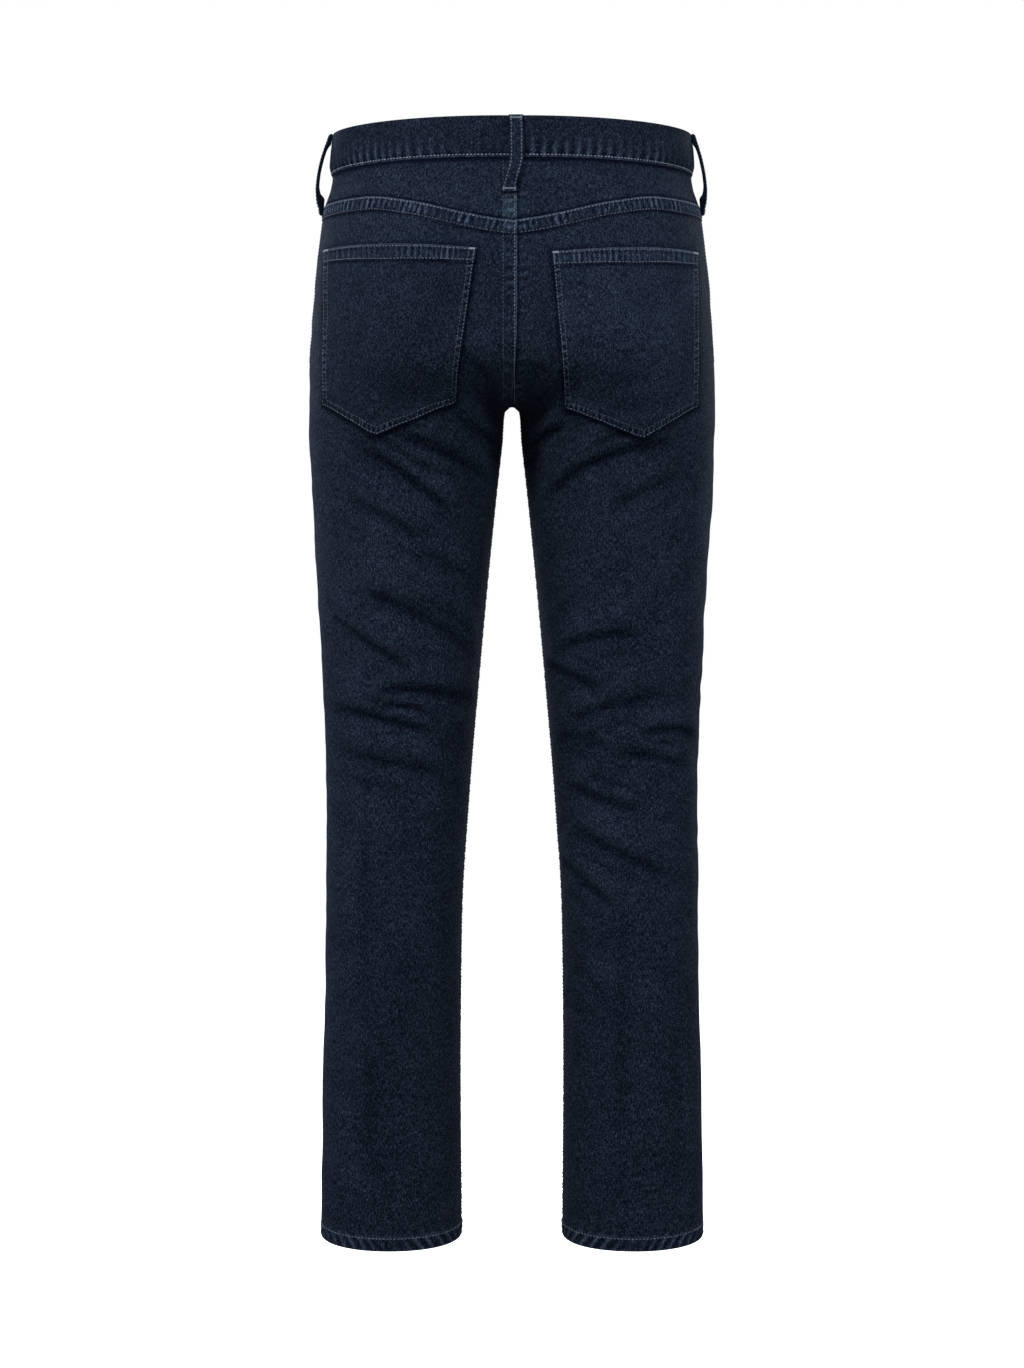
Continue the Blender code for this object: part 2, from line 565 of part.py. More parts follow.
def waistband():
    """One strip from its right end, under the left one in front, round the back to its left end on top."""
    middle = BAND_HEIGHT / 2
    front, back = girth("front", middle)[0], girth("back", middle)[0]
    legs = (
        ("left", "front", -BAND_UNDERLAP, 0.0, 1.0, 1.0, 3),
        ("right", "front", 0.0, front, 1.0, -1.0, 12),
        ("right", "back", front, front + back, 0.0, 1.0, 12),
        ("left", "back", front + back, front + 2 * back, 1.0, -1.0, 12),
        ("left", "front", front + 2 * back, 2 * (front + back), 0.0, 1.0, 18),
        ("right", "front", 2 * (front + back), 2 * (front + back) + BAND_OVERLAP, 1.0, -1.0, 2),
    )
    levels = np.array(BAND_LEVELS)
    outer, inner = [], []
    for number, (side, face, start, finish, from_share, way, cells) in enumerate(legs):
        length = front if face == "front" else back
        distance = np.linspace(start, finish, cells + 1)
        distance = distance if number == 0 else distance[1:]
        opens = start if number else 0.0
        around = (from_share + way * (distance - opens) / length)[None, :]
        around, drop = np.broadcast_arrays(around, levels[:, None])
        base = surface(side, face, around, drop)
        out = normals(side, face, around, drop)
        left_end = 2 * (front + back)
        lift_ends = left_end - BAND_UNDERLAP - 2 * SEAM_GAP
        lifted = eased(distance, lift_ends - BAND_LIFT_LENGTH, lift_ends)
        lifted = lifted * (BAND_WALL + SEAM_GAP)
        outer.append(base + out * (BAND_PROUD + lifted)[None, :, None])
        inner.append(base + out * (BAND_PROUD - BAND_WALL + lifted)[None, :, None])
    return cloth_wall("waistband", np.concatenate(outer, axis=1), np.concatenate(inner, axis=1), "band")


def belt_loop(entry):
    """A strip tacked at both ends, standing off the band between them, its ends folded under."""
    loop = dict(zip(LOOP_COLUMNS, entry))
    stations = LOOP_STATIONS
    drop = stations * loop["length"]
    around = loop["top_around"] + (loop["end_around"] - loop["top_around"]) * eased(stations, 0.5, 1.0)
    below_band = FELL_RISE if loop["face"] == "back" else 0.0
    seat = BAND_PROUD + (below_band - BAND_PROUD) * eased(drop, 0.6 * BAND_HEIGHT, 1.2 * BAND_HEIGHT)
    stand = seat + SEAM_GAP + loop["bow"] * np.sin(math.pi * stations**BOW_LOW)
    wall = LOOP_WALL + (LOOP_END_WALL - LOOP_WALL) * (1 - eased(stations, 0.02, 0.1))
    wall = wall + (LOOP_END_WALL - LOOP_WALL) * eased(stations, 0.9, 0.97)
    base = surface(loop["side"], loop["face"], around, drop)
    out = normals(loop["side"], loop["face"], around, drop)
    ahead = surface(loop["side"], loop["face"], around + 0.01, drop)
    behind = surface(loop["side"], loop["face"], around - 0.01, drop)
    across = ahead - behind
    across[:, 2] = 0.0
    across /= np.linalg.norm(across, axis=-1, keepdims=True)
    reach = np.array([-0.5, 0.5]) * LOOP_WIDTH
    under = base[:, None, :] + across[:, None, :] * reach[None, :, None] + (out * stand[:, None])[:, None, :]
    over = under + (out * wall[:, None])[:, None, :]
    return cloth_wall(loop["name"], over, under, "loop")


def back_pocket(side, panel):
    """A patch cut from the outer face of the panel under it, moved out, with its top hem raised."""
    builder = bmesh.new()
    add_grid(builder, panel)
    places = [dict(zip(POCKET_COLUMNS, corner)) for corner in POCKETS[side]]
    corners = [(HALF[side] * place["across"], BAND_HEIGHT / 2 - place["drop"]) for place in places]
    centre = np.mean(corners, axis=0)
    for start, finish in zip(corners, corners[1:] + corners[:1]):
        cut_along(builder, start, finish, centre, 0.0, True)
    inner_top, outer_top = corners[0], corners[-1]
    for depth in (FELL_WIDTH, FELL_WIDTH + POCKET_STEP):
        cut_along(builder, inner_top, outer_top, centre, depth, False)
    builder.normal_update()
    turned_out = np.mean([face.normal.y for face in builder.faces]) < 0
    under, over = {}, {}
    for vert in list(builder.verts):
        out = np.array(vert.normal) * (1.0 if turned_out else -1.0)
        place = np.array(vert.co) / MM
        below_top = inward_of(inner_top, outer_top, centre, (place[0], place[2]))
        hemmed = FELL_RISE if below_top < FELL_WIDTH + POCKET_STEP / 2 else 0.0
        under[vert] = place + out * POCKET_GAP
        over[vert] = place + out * (POCKET_GAP + POCKET_CLOTH + hemmed)
    return thick_patch("back_pocket_" + side, builder, under, over, "pocket")


def inward_of(start, finish, centre, place):
    """Distance of a place from a line, towards the centre, all as x and z."""
    along = np.subtract(finish, start)
    across = np.array([-along[1], along[0]]) / np.hypot(*along)
    across *= np.sign(across @ np.subtract(centre, start))
    return float(across @ np.subtract(place, start))


def cut_along(builder, start, finish, centre, depth, trim):
    """Cuts a patch straight through, front to back, along a line moved towards the centre by depth."""
    along = np.subtract(finish, start)
    across = np.array([-along[1], along[0]]) / np.hypot(*along)
    across *= np.sign(across @ np.subtract(centre, start))
    point = np.array(start) + across * depth
    everything = list(builder.verts) + list(builder.edges) + list(builder.faces)
    bmesh.ops.bisect_plane(
        builder, geom=everything, dist=1e-7, plane_co=(point[0] * MM, 0.0, point[1] * MM),
        plane_no=(across[0], 0.0, across[1]), clear_inner=trim,
    )


def thick_patch(name, patch, under, over, finish):
    """A closed wall from a patch of faces and the two places of each of its points."""
    builder = bmesh.new()
    low = {vert: builder.verts.new(place * MM) for vert, place in under.items()}
    high = {vert: builder.verts.new(place * MM) for vert, place in over.items()}
    for face in patch.faces:
        builder.faces.new([high[vert] for vert in face.verts])
        builder.faces.new([low[vert] for vert in reversed(face.verts)])
    for edge in patch.edges:
        if edge.is_boundary:
            first, second = edge.verts
            builder.faces.new((high[first], high[second], low[second], low[first]))
    patch.free()
    return add_object(name, builder, finish)


def waist_button():
    """A domed metal cap on the band's left end, where both ends of the band lie on each other."""
    out = normals("left", "front", 1.0, BUTTON_SEAT)
    seat = surface("left", "front", 1.0, BUTTON_SEAT) + out * (BAND_PROUD + BAND_WALL + 2 * SEAM_GAP)
    across = np.array([1.0, 0.0, 0.0])
    upright = np.cross(out, across)
    builder = bmesh.new()
    rings = []
    for height, radius in BUTTON_PROFILE:
        ring = []
        for i in range(BUTTON_SIDES):
            angle = 2 * math.pi * i / BUTTON_SIDES
            place = seat + out * height + radius * (across * math.cos(angle) + upright * math.sin(angle))
            ring.append(builder.verts.new(place * MM))
        rings.append(ring)
    for low, high in zip(rings[:-1], rings[1:]):
        for i in range(BUTTON_SIDES):
            j = (i + 1) % BUTTON_SIDES
            builder.faces.new((low[i], low[j], high[j], high[i]))
    builder.faces.new(rings[0])
    builder.faces.new(rings[-1])
    return add_object("waist_button", builder, "button")


def clear_scene():
    for item in list(bpy.data.objects):
        bpy.data.objects.remove(item, do_unlink=True)


def build():
    clear_scene()
    paths = {side: [fold_path(fold) for fold in FOLDS if fold[0] == side] for side in HALF}
    for side in ("left", "right"):
        panel = back_panel(side, paths[side])
        front_panel(side, paths[side])
        yoke(side)
        back_pocket(side, panel)
        facing(side)
    waistband()
    for entry in LOOPS:
        belt_loop(entry)
    waist_button()


build()
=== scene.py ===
"""Slim ankle jeans in dark denim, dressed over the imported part: cloth shells, seams, stitches and folds.

Metres in Blender and millimetres here, +Z up. The back of the jeans faces -Y, and +X is the wearer's right.
Each shell lies on the same surface as its solid. It is worked out from level sections, and a place on it is
given by how far round it is, from the side seam to the centre seam or inseam, and by its drop below the top.
"""

import json
import math

import bmesh
import bpy
import numpy as np
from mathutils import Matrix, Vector

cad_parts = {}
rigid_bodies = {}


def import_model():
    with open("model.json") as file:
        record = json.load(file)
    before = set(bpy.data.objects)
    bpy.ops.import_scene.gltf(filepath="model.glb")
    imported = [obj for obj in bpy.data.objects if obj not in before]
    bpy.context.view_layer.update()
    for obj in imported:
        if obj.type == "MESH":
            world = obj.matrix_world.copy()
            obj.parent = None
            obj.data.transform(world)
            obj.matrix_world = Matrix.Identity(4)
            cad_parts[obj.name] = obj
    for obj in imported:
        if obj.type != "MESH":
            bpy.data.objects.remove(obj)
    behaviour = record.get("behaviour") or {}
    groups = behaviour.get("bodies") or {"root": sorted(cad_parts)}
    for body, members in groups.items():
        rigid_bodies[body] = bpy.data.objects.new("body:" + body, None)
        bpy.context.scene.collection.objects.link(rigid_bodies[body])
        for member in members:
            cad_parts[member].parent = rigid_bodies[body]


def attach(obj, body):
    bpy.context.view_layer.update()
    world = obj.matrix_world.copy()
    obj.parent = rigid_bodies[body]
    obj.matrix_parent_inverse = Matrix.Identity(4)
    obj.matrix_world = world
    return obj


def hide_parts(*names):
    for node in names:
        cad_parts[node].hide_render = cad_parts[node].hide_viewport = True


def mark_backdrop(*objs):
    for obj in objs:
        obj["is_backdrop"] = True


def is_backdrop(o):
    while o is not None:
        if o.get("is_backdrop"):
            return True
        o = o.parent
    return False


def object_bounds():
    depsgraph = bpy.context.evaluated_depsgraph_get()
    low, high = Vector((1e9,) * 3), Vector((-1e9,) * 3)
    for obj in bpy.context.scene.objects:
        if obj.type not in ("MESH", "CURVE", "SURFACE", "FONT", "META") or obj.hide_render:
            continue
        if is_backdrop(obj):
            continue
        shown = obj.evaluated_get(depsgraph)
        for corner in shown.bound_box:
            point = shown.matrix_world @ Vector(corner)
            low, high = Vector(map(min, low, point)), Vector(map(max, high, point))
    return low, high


MM = 0.001

# Waistband, cloth and seams
BAND_HEIGHT = 38.0
BAND_WALL = 2.6
BAND_PROUD = 0.4
BAND_UNDERLAP = 30.0
BAND_OVERLAP = 14.0
BAND_LIFT_LENGTH = 26.0
CLOTH = 1.2
SEAM_GAP = 0.3
FELL_WIDTH = 12.5
FELL_RISE = 0.8
ROW_GROOVE = 0.22
SIDE_GROOVE = 0.75
SIDE_GROOVE_WIDTH = 1.1
TUCKED_IN = 0.06
LAP_WIDTH = {"back": 3.8, "front": 6.0}
LAP_FADES_FROM = {"back": 222.0, "front": 150.0}
LAP_ENDS = 250.0
UNDER_LAP = 5.0

# Leg ends
HEM_DROP = 1008.0
HEM_DEPTH = 12.5
HEM_WALL = 2.6
HEM_RISE = 0.3
HEM_DIP_BACK = 9.2
HEM_DIP_FRONT = -8.0
HEM_DIP_STARTS = 840.0

# Where the seat seam and the inseam meet, as a row of the section table
CROTCH = 260.0
FORK_SOFTNESS = 26.0
TOP_EDGE_FADES = {"back": 150.0, "front": 190.0}

# Front pocket mouth along the waist and down the side seam, the facing behind it and the painted shade that
# darkens it, and where the fly turns
MOUTH_ACROSS = 92.0
MOUTH_DOWN = 74.0
FLY_TURNS = 145.0
FACING_MARGIN = 16.0
FACING_GAP = 0.5
FACING_SHADE = -0.05

# Belt loops, and how far their two faces stand off along them, as shares of the bow
LOOP_WIDTH = 12.6
LOOP_WALL = 2.6
LOOP_BOW_COLUMNS = ("along", "outer", "inner")
LOOP_BOW = (
    (0.0, 0.0, 0.0), (0.10, 0.28, 0.0), (0.15, 0.45, 0.34), (0.20, 0.58, 0.54), (0.35, 0.87, 0.85),
    (0.50, 0.99, 0.98), (0.63, 1.0, 0.96), (0.74, 0.86, 0.66), (0.82, 0.68, 0.0), (0.90, 0.40, 0.0),
    (1.0, 0.0, 0.0),
)

# Back pockets, in their seat and under the shade at their edge, and waist button
POCKET_CLOTH = 1.2
POCKET_GAP = 0.35
POCKET_SEAT = 0.12
POCKET_SHADE = 0.38
POCKET_SHADE_WIDTH = 3.2
POCKET_WIDTH = 160.0
POCKET_DEPTH = 150.0
POCKET_HEM_ROWS_END = 14.0
# Depth of the sides as a share of that at the tip, and distance square to the bottom edge as one of that down
POCKET_SIDE_SHARE = 0.86
POCKET_SLOPE = 0.93
BUTTON_SEAT = 19.0
BUTTON_SIDES = 72

# Level sections of the right half. x is across and y is front to back, with the back at minus.
# The back and front peaks are the rearmost and foremost points. The inner end is on the centre seams down
# to the crotch and on the inseam below it. Turn is how far the section has turned there, in degrees.
SECTION_COLUMNS = (
    "drop", "side_x", "side_y", "back_x", "back_y", "front_x", "front_y",
    "inner_x", "back_end_y", "front_end_y", "back_end_drop", "front_end_drop", "turn",
)
SECTIONS = (
    (0.0, 164.7, 0.0, 12.0, -103.2, 42.0, 100.0, 0.0, -103.0, 99.5, -1.5, 8.0, 0.0),
    (28.0, 167.2, 0.0, 20.0, -106.7, 44.0, 103.0, 0.0, -106.5, 102.4, 26.6, 36.0, 0.0),
    (38.0, 164.8, 0.0, 24.0, -107.8, 46.0, 104.0, 0.0, -107.6, 103.2, 36.6, 46.0, 0.0),
    (50.0, 166.5, 0.0, 30.0, -110.6, 48.0, 105.3, 0.0, -110.2, 104.2, 48.8, 57.5, 0.0),
    (66.0, 171.6, 0.0, 38.0, -114.2, 51.0, 106.5, 0.0, -113.2, 105.2, 65.0, 73.0, 0.0),
    (96.0, 176.2, 0.0, 50.0, -121.0, 56.0, 108.5, 0.0, -119.2, 106.6, 95.2, 101.5, 0.0),
    (150.0, 181.7, 0.0, 68.0, -130.0, 65.0, 110.0, 0.0, -127.0, 106.8, 149.6, 153.0, 0.0),
    (200.0, 185.0, 0.0, 80.0, -133.5, 75.0, 106.5, 0.0, -125.5, 97.5, 200.0, 202.0, 10.0),
    (212.0, 185.5, -0.2, 82.5, -132.8, 78.0, 105.0, 0.0, -119.0, 89.0, 213.5, 214.5, 21.0),
    (224.0, 185.9, -0.4, 85.0, -131.0, 80.5, 103.3, 0.0, -107.0, 76.0, 226.0, 226.0, 34.0),
    (234.0, 186.2, -0.6, 87.0, -128.8, 83.0, 101.7, 0.0, -88.0, 59.0, 235.5, 235.0, 47.0),
    (243.0, 186.3, -0.8, 88.5, -126.2, 85.0, 100.2, 0.0, -63.0, 39.0, 243.0, 242.0, 59.0),
    (251.0, 186.3, -0.9, 90.0, -123.4, 86.5, 98.7, 0.0, -35.0, 17.0, 247.5, 247.0, 70.0),
    (260.0, 186.2, -1.0, 91.0, -120.0, 88.0, 97.0, 0.0, -6.0, -6.0, 250.0, 250.0, 79.0),
    (260.8, 186.2, -1.0, 91.1, -119.7, 88.1, 96.8, 2.6, -6.0, -6.0, 250.4, 250.4, 79.6),
    (262.0, 186.1, -1.0, 91.3, -119.2, 88.3, 96.6, 4.7, -6.0, -6.0, 251.6, 251.6, 80.5),
    (264.5, 186.1, -1.0, 91.6, -118.3, 88.6, 96.1, 6.3, -6.0, -6.0, 254.2, 254.2, 82.4),
    (268.0, 186.0, -1.0, 92.0, -117.0, 89.0, 95.4, 7.0, -6.0, -6.0, 258.2, 258.2, 85.0),
    (286.0, 185.6, -1.2, 93.5, -111.0, 91.0, 92.0, 9.0, -6.2, -6.2, 280.0, 280.0, 90.0),
    (330.0, 183.8, -1.6, 96.0, -100.0, 94.0, 86.0, 14.4, -6.8, -6.8, 329.0, 329.0, 90.0),
    (400.0, 179.4, -2.0, 98.0, -90.0, 98.0, 80.0, 21.6, -7.0, -7.0, 400.0, 400.0, 90.0),
    (500.0, 173.9, -2.0, 100.0, -76.0, 101.0, 74.5, 30.8, -5.0, -5.0, 500.0, 500.0, 90.0),
    (611.0, 170.2, -2.0, 104.0, -64.5, 105.0, 69.0, 40.0, -2.5, -2.5, 611.0, 611.0, 90.0),
    (720.0, 170.7, -3.0, 108.0, -66.0, 109.0, 59.0, 46.4, -3.0, -3.0, 720.0, 720.0, 90.0),
    (860.0, 173.1, -3.5, 110.0, -60.0, 110.0, 52.0, 47.5, -3.5, -3.5, 860.0, 860.0, 90.0),
    (1008.0, 175.3, -3.5, 111.0, -53.0, 111.0, 47.0, 46.4, -3.5, -3.5, 1008.0, 1008.0, 90.0),
)

# Seam under the yoke: share of the way round from the side seam to the centre seam, and drop
YOKE_SEAM_COLUMNS = ("around", "drop")
YOKE_SEAM = ((0.0, 66.0), (0.2, 67.4), (0.44, 68.6), (0.63, 76.0), (0.86, 89.8), (1.0, 95.0))

# Corners of the patch pockets as across and drop, from the inner top corner round to the outer one
POCKETS = {
    "left": {
        "inner top": (31.0, 119.6), "inner bottom": (51.0, 255.0), "tip": (121.5, 285.0),
        "outer bottom": (169.5, 253.5), "outer top": (169.8, 111.5),
    },
    "right": {
        "inner top": (34.8, 123.0), "inner bottom": (47.6, 259.5), "tip": (115.5, 287.5),
        "outer bottom": (166.5, 256.0), "outer top": (167.5, 114.5),
    },
}

# Largest folds of each panel: where each trough starts, bends and ends as across and drop, depth and width
FOLDS = {
    ("left", "back"): (
        (49, 266, 32, 279, 11, 287, 5.0, 7), (65, 265, 55, 262, 45, 257, 2.6, 7),
        (110, 282, 62, 298, 20, 319, 4.8, 10), (133, 293, 96, 318, 50, 356, 5.0, 11),
        (148, 338, 110, 352, 78, 382, 3.4, 11), (84, 386, 60, 394, 36, 410, 3.0, 12),
        (134, 419, 92, 436, 34, 480, 4.2, 12), (166, 440, 130, 464, 86, 497, 5.0, 9),
        (126, 512, 82, 506, 34, 520, 4.6, 9), (162, 524, 118, 534, 68, 549, 4.8, 9),
        (160, 563, 112, 576, 60, 585, 3.4, 11), (51, 204, 34, 228, 11, 254, 2.6, 11),
        (134, 640, 128, 720, 136, 800, 1.6, 20), (122, 830, 130, 900, 124, 975, 1.3, 22),
        (60, 700, 66, 780, 58, 860, 1.0, 18),
    ),
    ("right", "back"): (
        (27, 341, 84, 292, 150, 288, 4.8, 10), (84, 348, 116, 334, 152, 314, 3.0, 11),
        (39, 477, 80, 456, 118, 462, 4.0, 11), (31, 485, 56, 496, 86, 511, 4.2, 9),
        (48, 539, 90, 524, 144, 510, 3.6, 12), (114, 549, 144, 541, 168, 551, 5.0, 7),
        (43, 548, 66, 556, 88, 562, 3.4, 9), (98, 565, 128, 572, 160, 576, 2.8, 9),
        (47, 593, 82, 610, 118, 619, 4.2, 10), (54, 631, 98, 662, 144, 677, 4.2, 12),
        (44, 660, 68, 684, 94, 707, 3.8, 11), (13, 289, 30, 280, 49, 275, 4.6, 7),
        (24, 158, 32, 196, 38, 232, 2.0, 13), (56, 758, 76, 778, 98, 800, 1.8, 18),
        (47, 792, 56, 798, 68, 803, 2.4, 6), (102, 700, 96, 800, 104, 930, 1.5, 21),
        (150, 820, 146, 890, 152, 960, 1.0, 18),
    ),
    ("left", "front"): (
        (152, 232, 100, 262, 44, 316, 3.4, 13), (30, 268, 58, 286, 92, 322, 2.8, 12),
        (158, 300, 118, 318, 76, 352, 3.6, 12), (156, 520, 108, 536, 60, 528, 4.0, 11),
        (150, 590, 112, 600, 70, 594, 3.6, 12), (154, 690, 118, 706, 80, 710, 2.6, 14),
    ),
    ("right", "front"): (
        (156, 226, 106, 254, 40, 306, 3.4, 13), (34, 274, 62, 296, 88, 336, 2.8, 12),
        (160, 316, 122, 328, 70, 366, 3.4, 12), (158, 534, 112, 528, 58, 546, 4.0, 11),
        (152, 604, 106, 610, 66, 600, 3.6, 12), (148, 668, 110, 688, 72, 700, 2.6, 14),
    ),
}

# Folds: random seed of the smaller ones, points along each, shares of its ridge and crease in its shape, the
# depth that its painted shade and highlight are measured against, and their strength
FOLD_SEED = 7
FOLD_POINTS = 13
RIDGE_SHARE = 0.60
CREASE_SHARE = 0.40
DEEPEST = 5.0
FOLD_SHADE_AND_HIGHLIGHT_TONE = 0.30

# Belt loops: half, face, share of the way round at the top and at the end, how far it stands off, and length
LOOP_COLUMNS = ("name", "side", "face", "top_around", "end_around", "bow", "length")
LOOPS = (
    ("belt_loop_centre_back", "right", "back", 0.983, 1.010, 2.6, 70.5),
    ("belt_loop_side_left", "left", "back", 0.034, 0.034, 6.6, 74.0),
    ("belt_loop_side_right", "right", "back", 0.034, 0.034, 5.4, 74.0),
    ("belt_loop_front_left", "left", "front", 0.47, 0.47, 3.4, 68.0),
    ("belt_loop_front_right", "right", "front", 0.47, 0.47, 3.8, 68.0),
)

# Distances of fine rows or columns from an edge, which give it its rounding
EDGE_STEPS = (0.0, 0.18, 0.42, 0.8, 1.4, 2.4)
LOOP_SIDE_STEPS = (0.0, 0.18, 0.5, 1.0)
LOOP_END_STEPS = (0.0, 0.3, 0.7, 1.2, 1.8)
EDGE_ROUND = 0.7
SHARP_ANGLE = 50.0

# Mesh steps across and down each piece, and rows of a panel round the crotch, down the leg and above the hem
MESH_STEPS = {
    "back": (2.5, 2.8), "front": (2.9, 2.8), "facing": (3.0, 3.0), "pocket": (1.9, 2.0), "band": (1.9, 1.7),
    "loop": (0.9, 1.3),
}
POCKET_HEM_STEP = 1.5
YOKE_STEP = 2.1
YOKE_ROWS = 24
FORK_ROWS = (-6.0, -4.0, -2.4, -1.2, 0.0, 0.4, 0.8, 1.3, 2.0, 3.0, 4.5, 6.2, 8.0, 10.0, 12.5)
KNEE = 700.0
THIGH_ROWS = 150
CALF_ROWS = 56
CALF_ENDS = 17.0
HEM_ROWS = (15.4, 14.2, 13.2, 12.6, 12.0, 11.2, 10.0, 8.4, 6.8, 5.2, 3.6, 2.4, 1.4, 0.8, 0.42, 0.18, 0.0)

# Puckers along a seam: their spacing, height and random seed
PUCKER_COLUMNS = ("seam", "pitch", "height", "seed")
PUCKERS = (
    ("yoke", 5.8, 0.70, 11),
    ("seat", 8.0, 0.70, 12),
    ("band", 9.0, 0.55, 13),
    ("hem", 10.0, 0.80, 14),
    ("pocket", 5.5, 0.60, 15),
    ("inseam", 9.0, 0.50, 16),
)

# Stitches, and the rings of one: share of its length, size and height, both in radii
STITCH_PITCH = 3.3
STITCH_LENGTH = 2.1
STITCH_RADIUS = 0.38
STITCH_SIDES = 6
STITCH_RINGS = ((0.0, 0.45, -0.5), (0.25, 1.0, 0.45), (0.75, 1.0, 0.45), (1.0, 0.45, -0.5))

# Rows of stitches: distance from the edge or the seam, and paleness where it isn't the usual one
YOKE_STITCHES = ((1.5, 0.55), (11.8, 0.28))
SEAT_STITCHES = ((-2.3, 0.5), (7.8, 0.18))
SIDE_STITCHES = (2.4, 0.3)
POCKET_STITCHES = ((2.2, 0.38), (7.0, 0.2))
POCKET_HEM_STITCHES = ((1.7, 0.42), (FELL_WIDTH - 1.4, 0.4))
HEM_STITCHES = HEM_DEPTH - 1.2
MOUTH_STITCHES = (2.0, 8.0)
INSEAM_STITCHES = ((1.8, 0.3), (8.2, 0.3))
FLY_EDGE_STITCHES = 2.0
FLY_STITCHES = ((32.0, 0.6), (38.0, 0.6))
BAND_STITCHES = 2.6
LOOP_STITCHES = 1.9

# Bartacks: points of the zigzag, half its width, and where they lie across a pocket and in from a loop's end
TACK_ENDS = 24
TACK_REACH = 0.95
POCKET_TACKS = ((0.010, 0.046), (0.954, 0.990))
LOOP_TACKS = 3.4

# Paleness of a belt loop's rows and bartacks
CENTRE_LOOP_TONES = (0.45, 0.6)
LOOP_TONES = (0.26, 0.3)

# Rounds of the search for a place on the surface, and the two faces and halves
LOCATE_ROUNDS = 6

OTHER_FACE = {"back": "front", "front": "back"}
HALF = {"left": -1.0, "right": 1.0}

# Random seeds of the uneven cloth, wear and puckers
SEEDS = {
    "left": 21, "right": 22, "side seam": 61, "inseam": 62, "yoke seam": 5, "pocket edge": 8, "band edge": 9,
    "band": 33, "loop": 41,
}

# Flat cut of each cloth piece, width and length in metres
BACK_CUT = (0.330, 0.955)
FRONT_CUT = (0.306, 0.975)
YOKE_CUT = (0.255, 0.068)
POCKET_CUT = (0.165, 0.175)
FACING_CUT = (0.110, 0.095)
BAND_CUT = (0.915, 0.041)
LOOP_CUT = (LOOP_WIDTH * MM, 0.074)

# Colours, as linear red, green and blue, and a tone for each denim that scales them
DENIM_DARK = (0.0012, 0.0030, 0.0110)
PALE_GREENER = (0.0770, 0.1310, 0.1970)
PALE_REDDER = (0.0920, 0.1200, 0.2050)
THREAD_DARK = (0.014, 0.020, 0.036)
THREAD_PALE = (0.300, 0.350, 0.450)
METAL_DARK = (0.20, 0.19, 0.18)
METAL_PALE = (0.48, 0.46, 0.43)
SHEEN_TINT = (0.35, 0.50, 0.85)
WHITE = (1.0, 1.0, 1.0)
FLOOR_COLOUR = (0.8, 0.8, 0.8)
DENIM_TONES = {
    "panels": 0.86, "yokes": 0.84, "band": 0.70, "pocket_left": 0.78, "pocket_right": 0.95, "loops": 0.85,
}

# Denim: its weave in metres, scales of its noises, and how strongly each part changes the tone
TWILL_PITCH = 0.0009
STREAK_SCALE = (1250.0, 260.0)
SPECKLE_SCALE = (940.0, 760.0)
CLOUD_SCALE = 24.0
MOTTLE_SCALE = 95.0
HUE_SCALE = 31.0
RIB_WANDER_SCALE = 700.0
RIB_WANDER = 2.2
RIB_TONE = 0.08
# Strength of the wear together with the painted shade and highlights
RIB_HEIGHT = 0.35
WEAR_AND_SHADE_TONE = 0.60
TONE_POWER = 2.2
YARN_SHIFT = 0.37
THREAD_SCALE = 900.0
METAL_SCALE = 420.0
BUMP_DEPTH = 0.0002
YARN_WIDTH = 0.0011
YARN_LENGTH = 0.0014
BASE_TONE = 0.364
YARNS = 0.32
SPECKLE = 1.15
STREAKS = 1.2
CLOUDS = 0.22
MOTTLE = 0.14

# Camera, floor and light, in metres and watts
SENSOR_WIDTH = 36.0
CAMERA_DISTANCE = 3.0
CAMERA_LEVEL = -0.485
FRAME_HEIGHT = 1.2586
FLOOR_LEVEL = -1.075
FLOOR_GLOW = 0.86
ROOM_RADIUS = 9.0
ROOM_LIGHT = 0.16
LIGHTS = (
    ("key_left", (-1.4, -2.1, 2.3), (0.0, 0.0, -0.40), 0.7, 68.0),
    ("key_right", (1.9, -2.2, 1.5), (0.0, 0.0, -0.40), 0.8, 31.0),
    ("top", (0.0, -0.3, 2.2), (0.0, 0.0, -0.4), 1.8, 9.0),
    ("low", (0.3, -3.4, -0.9), (0.0, 0.0, -0.25), 1.4, 17.5),
    ("side_left", (-2.2, -0.3, 0.5), (0.0, 0.0, -0.4), 1.0, 22.0),
    ("side_right", (2.2, -0.3, 0.5), (0.0, 0.0, -0.4), 1.0, 13.0),
    ("front_left", (-1.4, 2.4, 1.7), (0.0, 0.0, -0.45), 1.2, 78.0),
    ("front_right", (1.6, 2.3, 1.2), (0.0, 0.0, -0.45), 1.2, 48.0),
)

# Height above the band and radius of the button's cap, from its neck to the middle of its dish
BUTTON_PROFILE = (
    (-0.2, 0.4), (-0.2, 4.6), (1.2, 4.6), (1.8, 5.0), (2.1, 7.6), (2.3, 8.4), (2.8, 8.75), (3.3, 8.6),
    (3.7, 8.1), (3.8, 7.4), (3.55, 6.8), (3.5, 6.2), (3.75, 5.4), (4.05, 3.8), (4.2, 2.0), (4.25, 0.4),
)


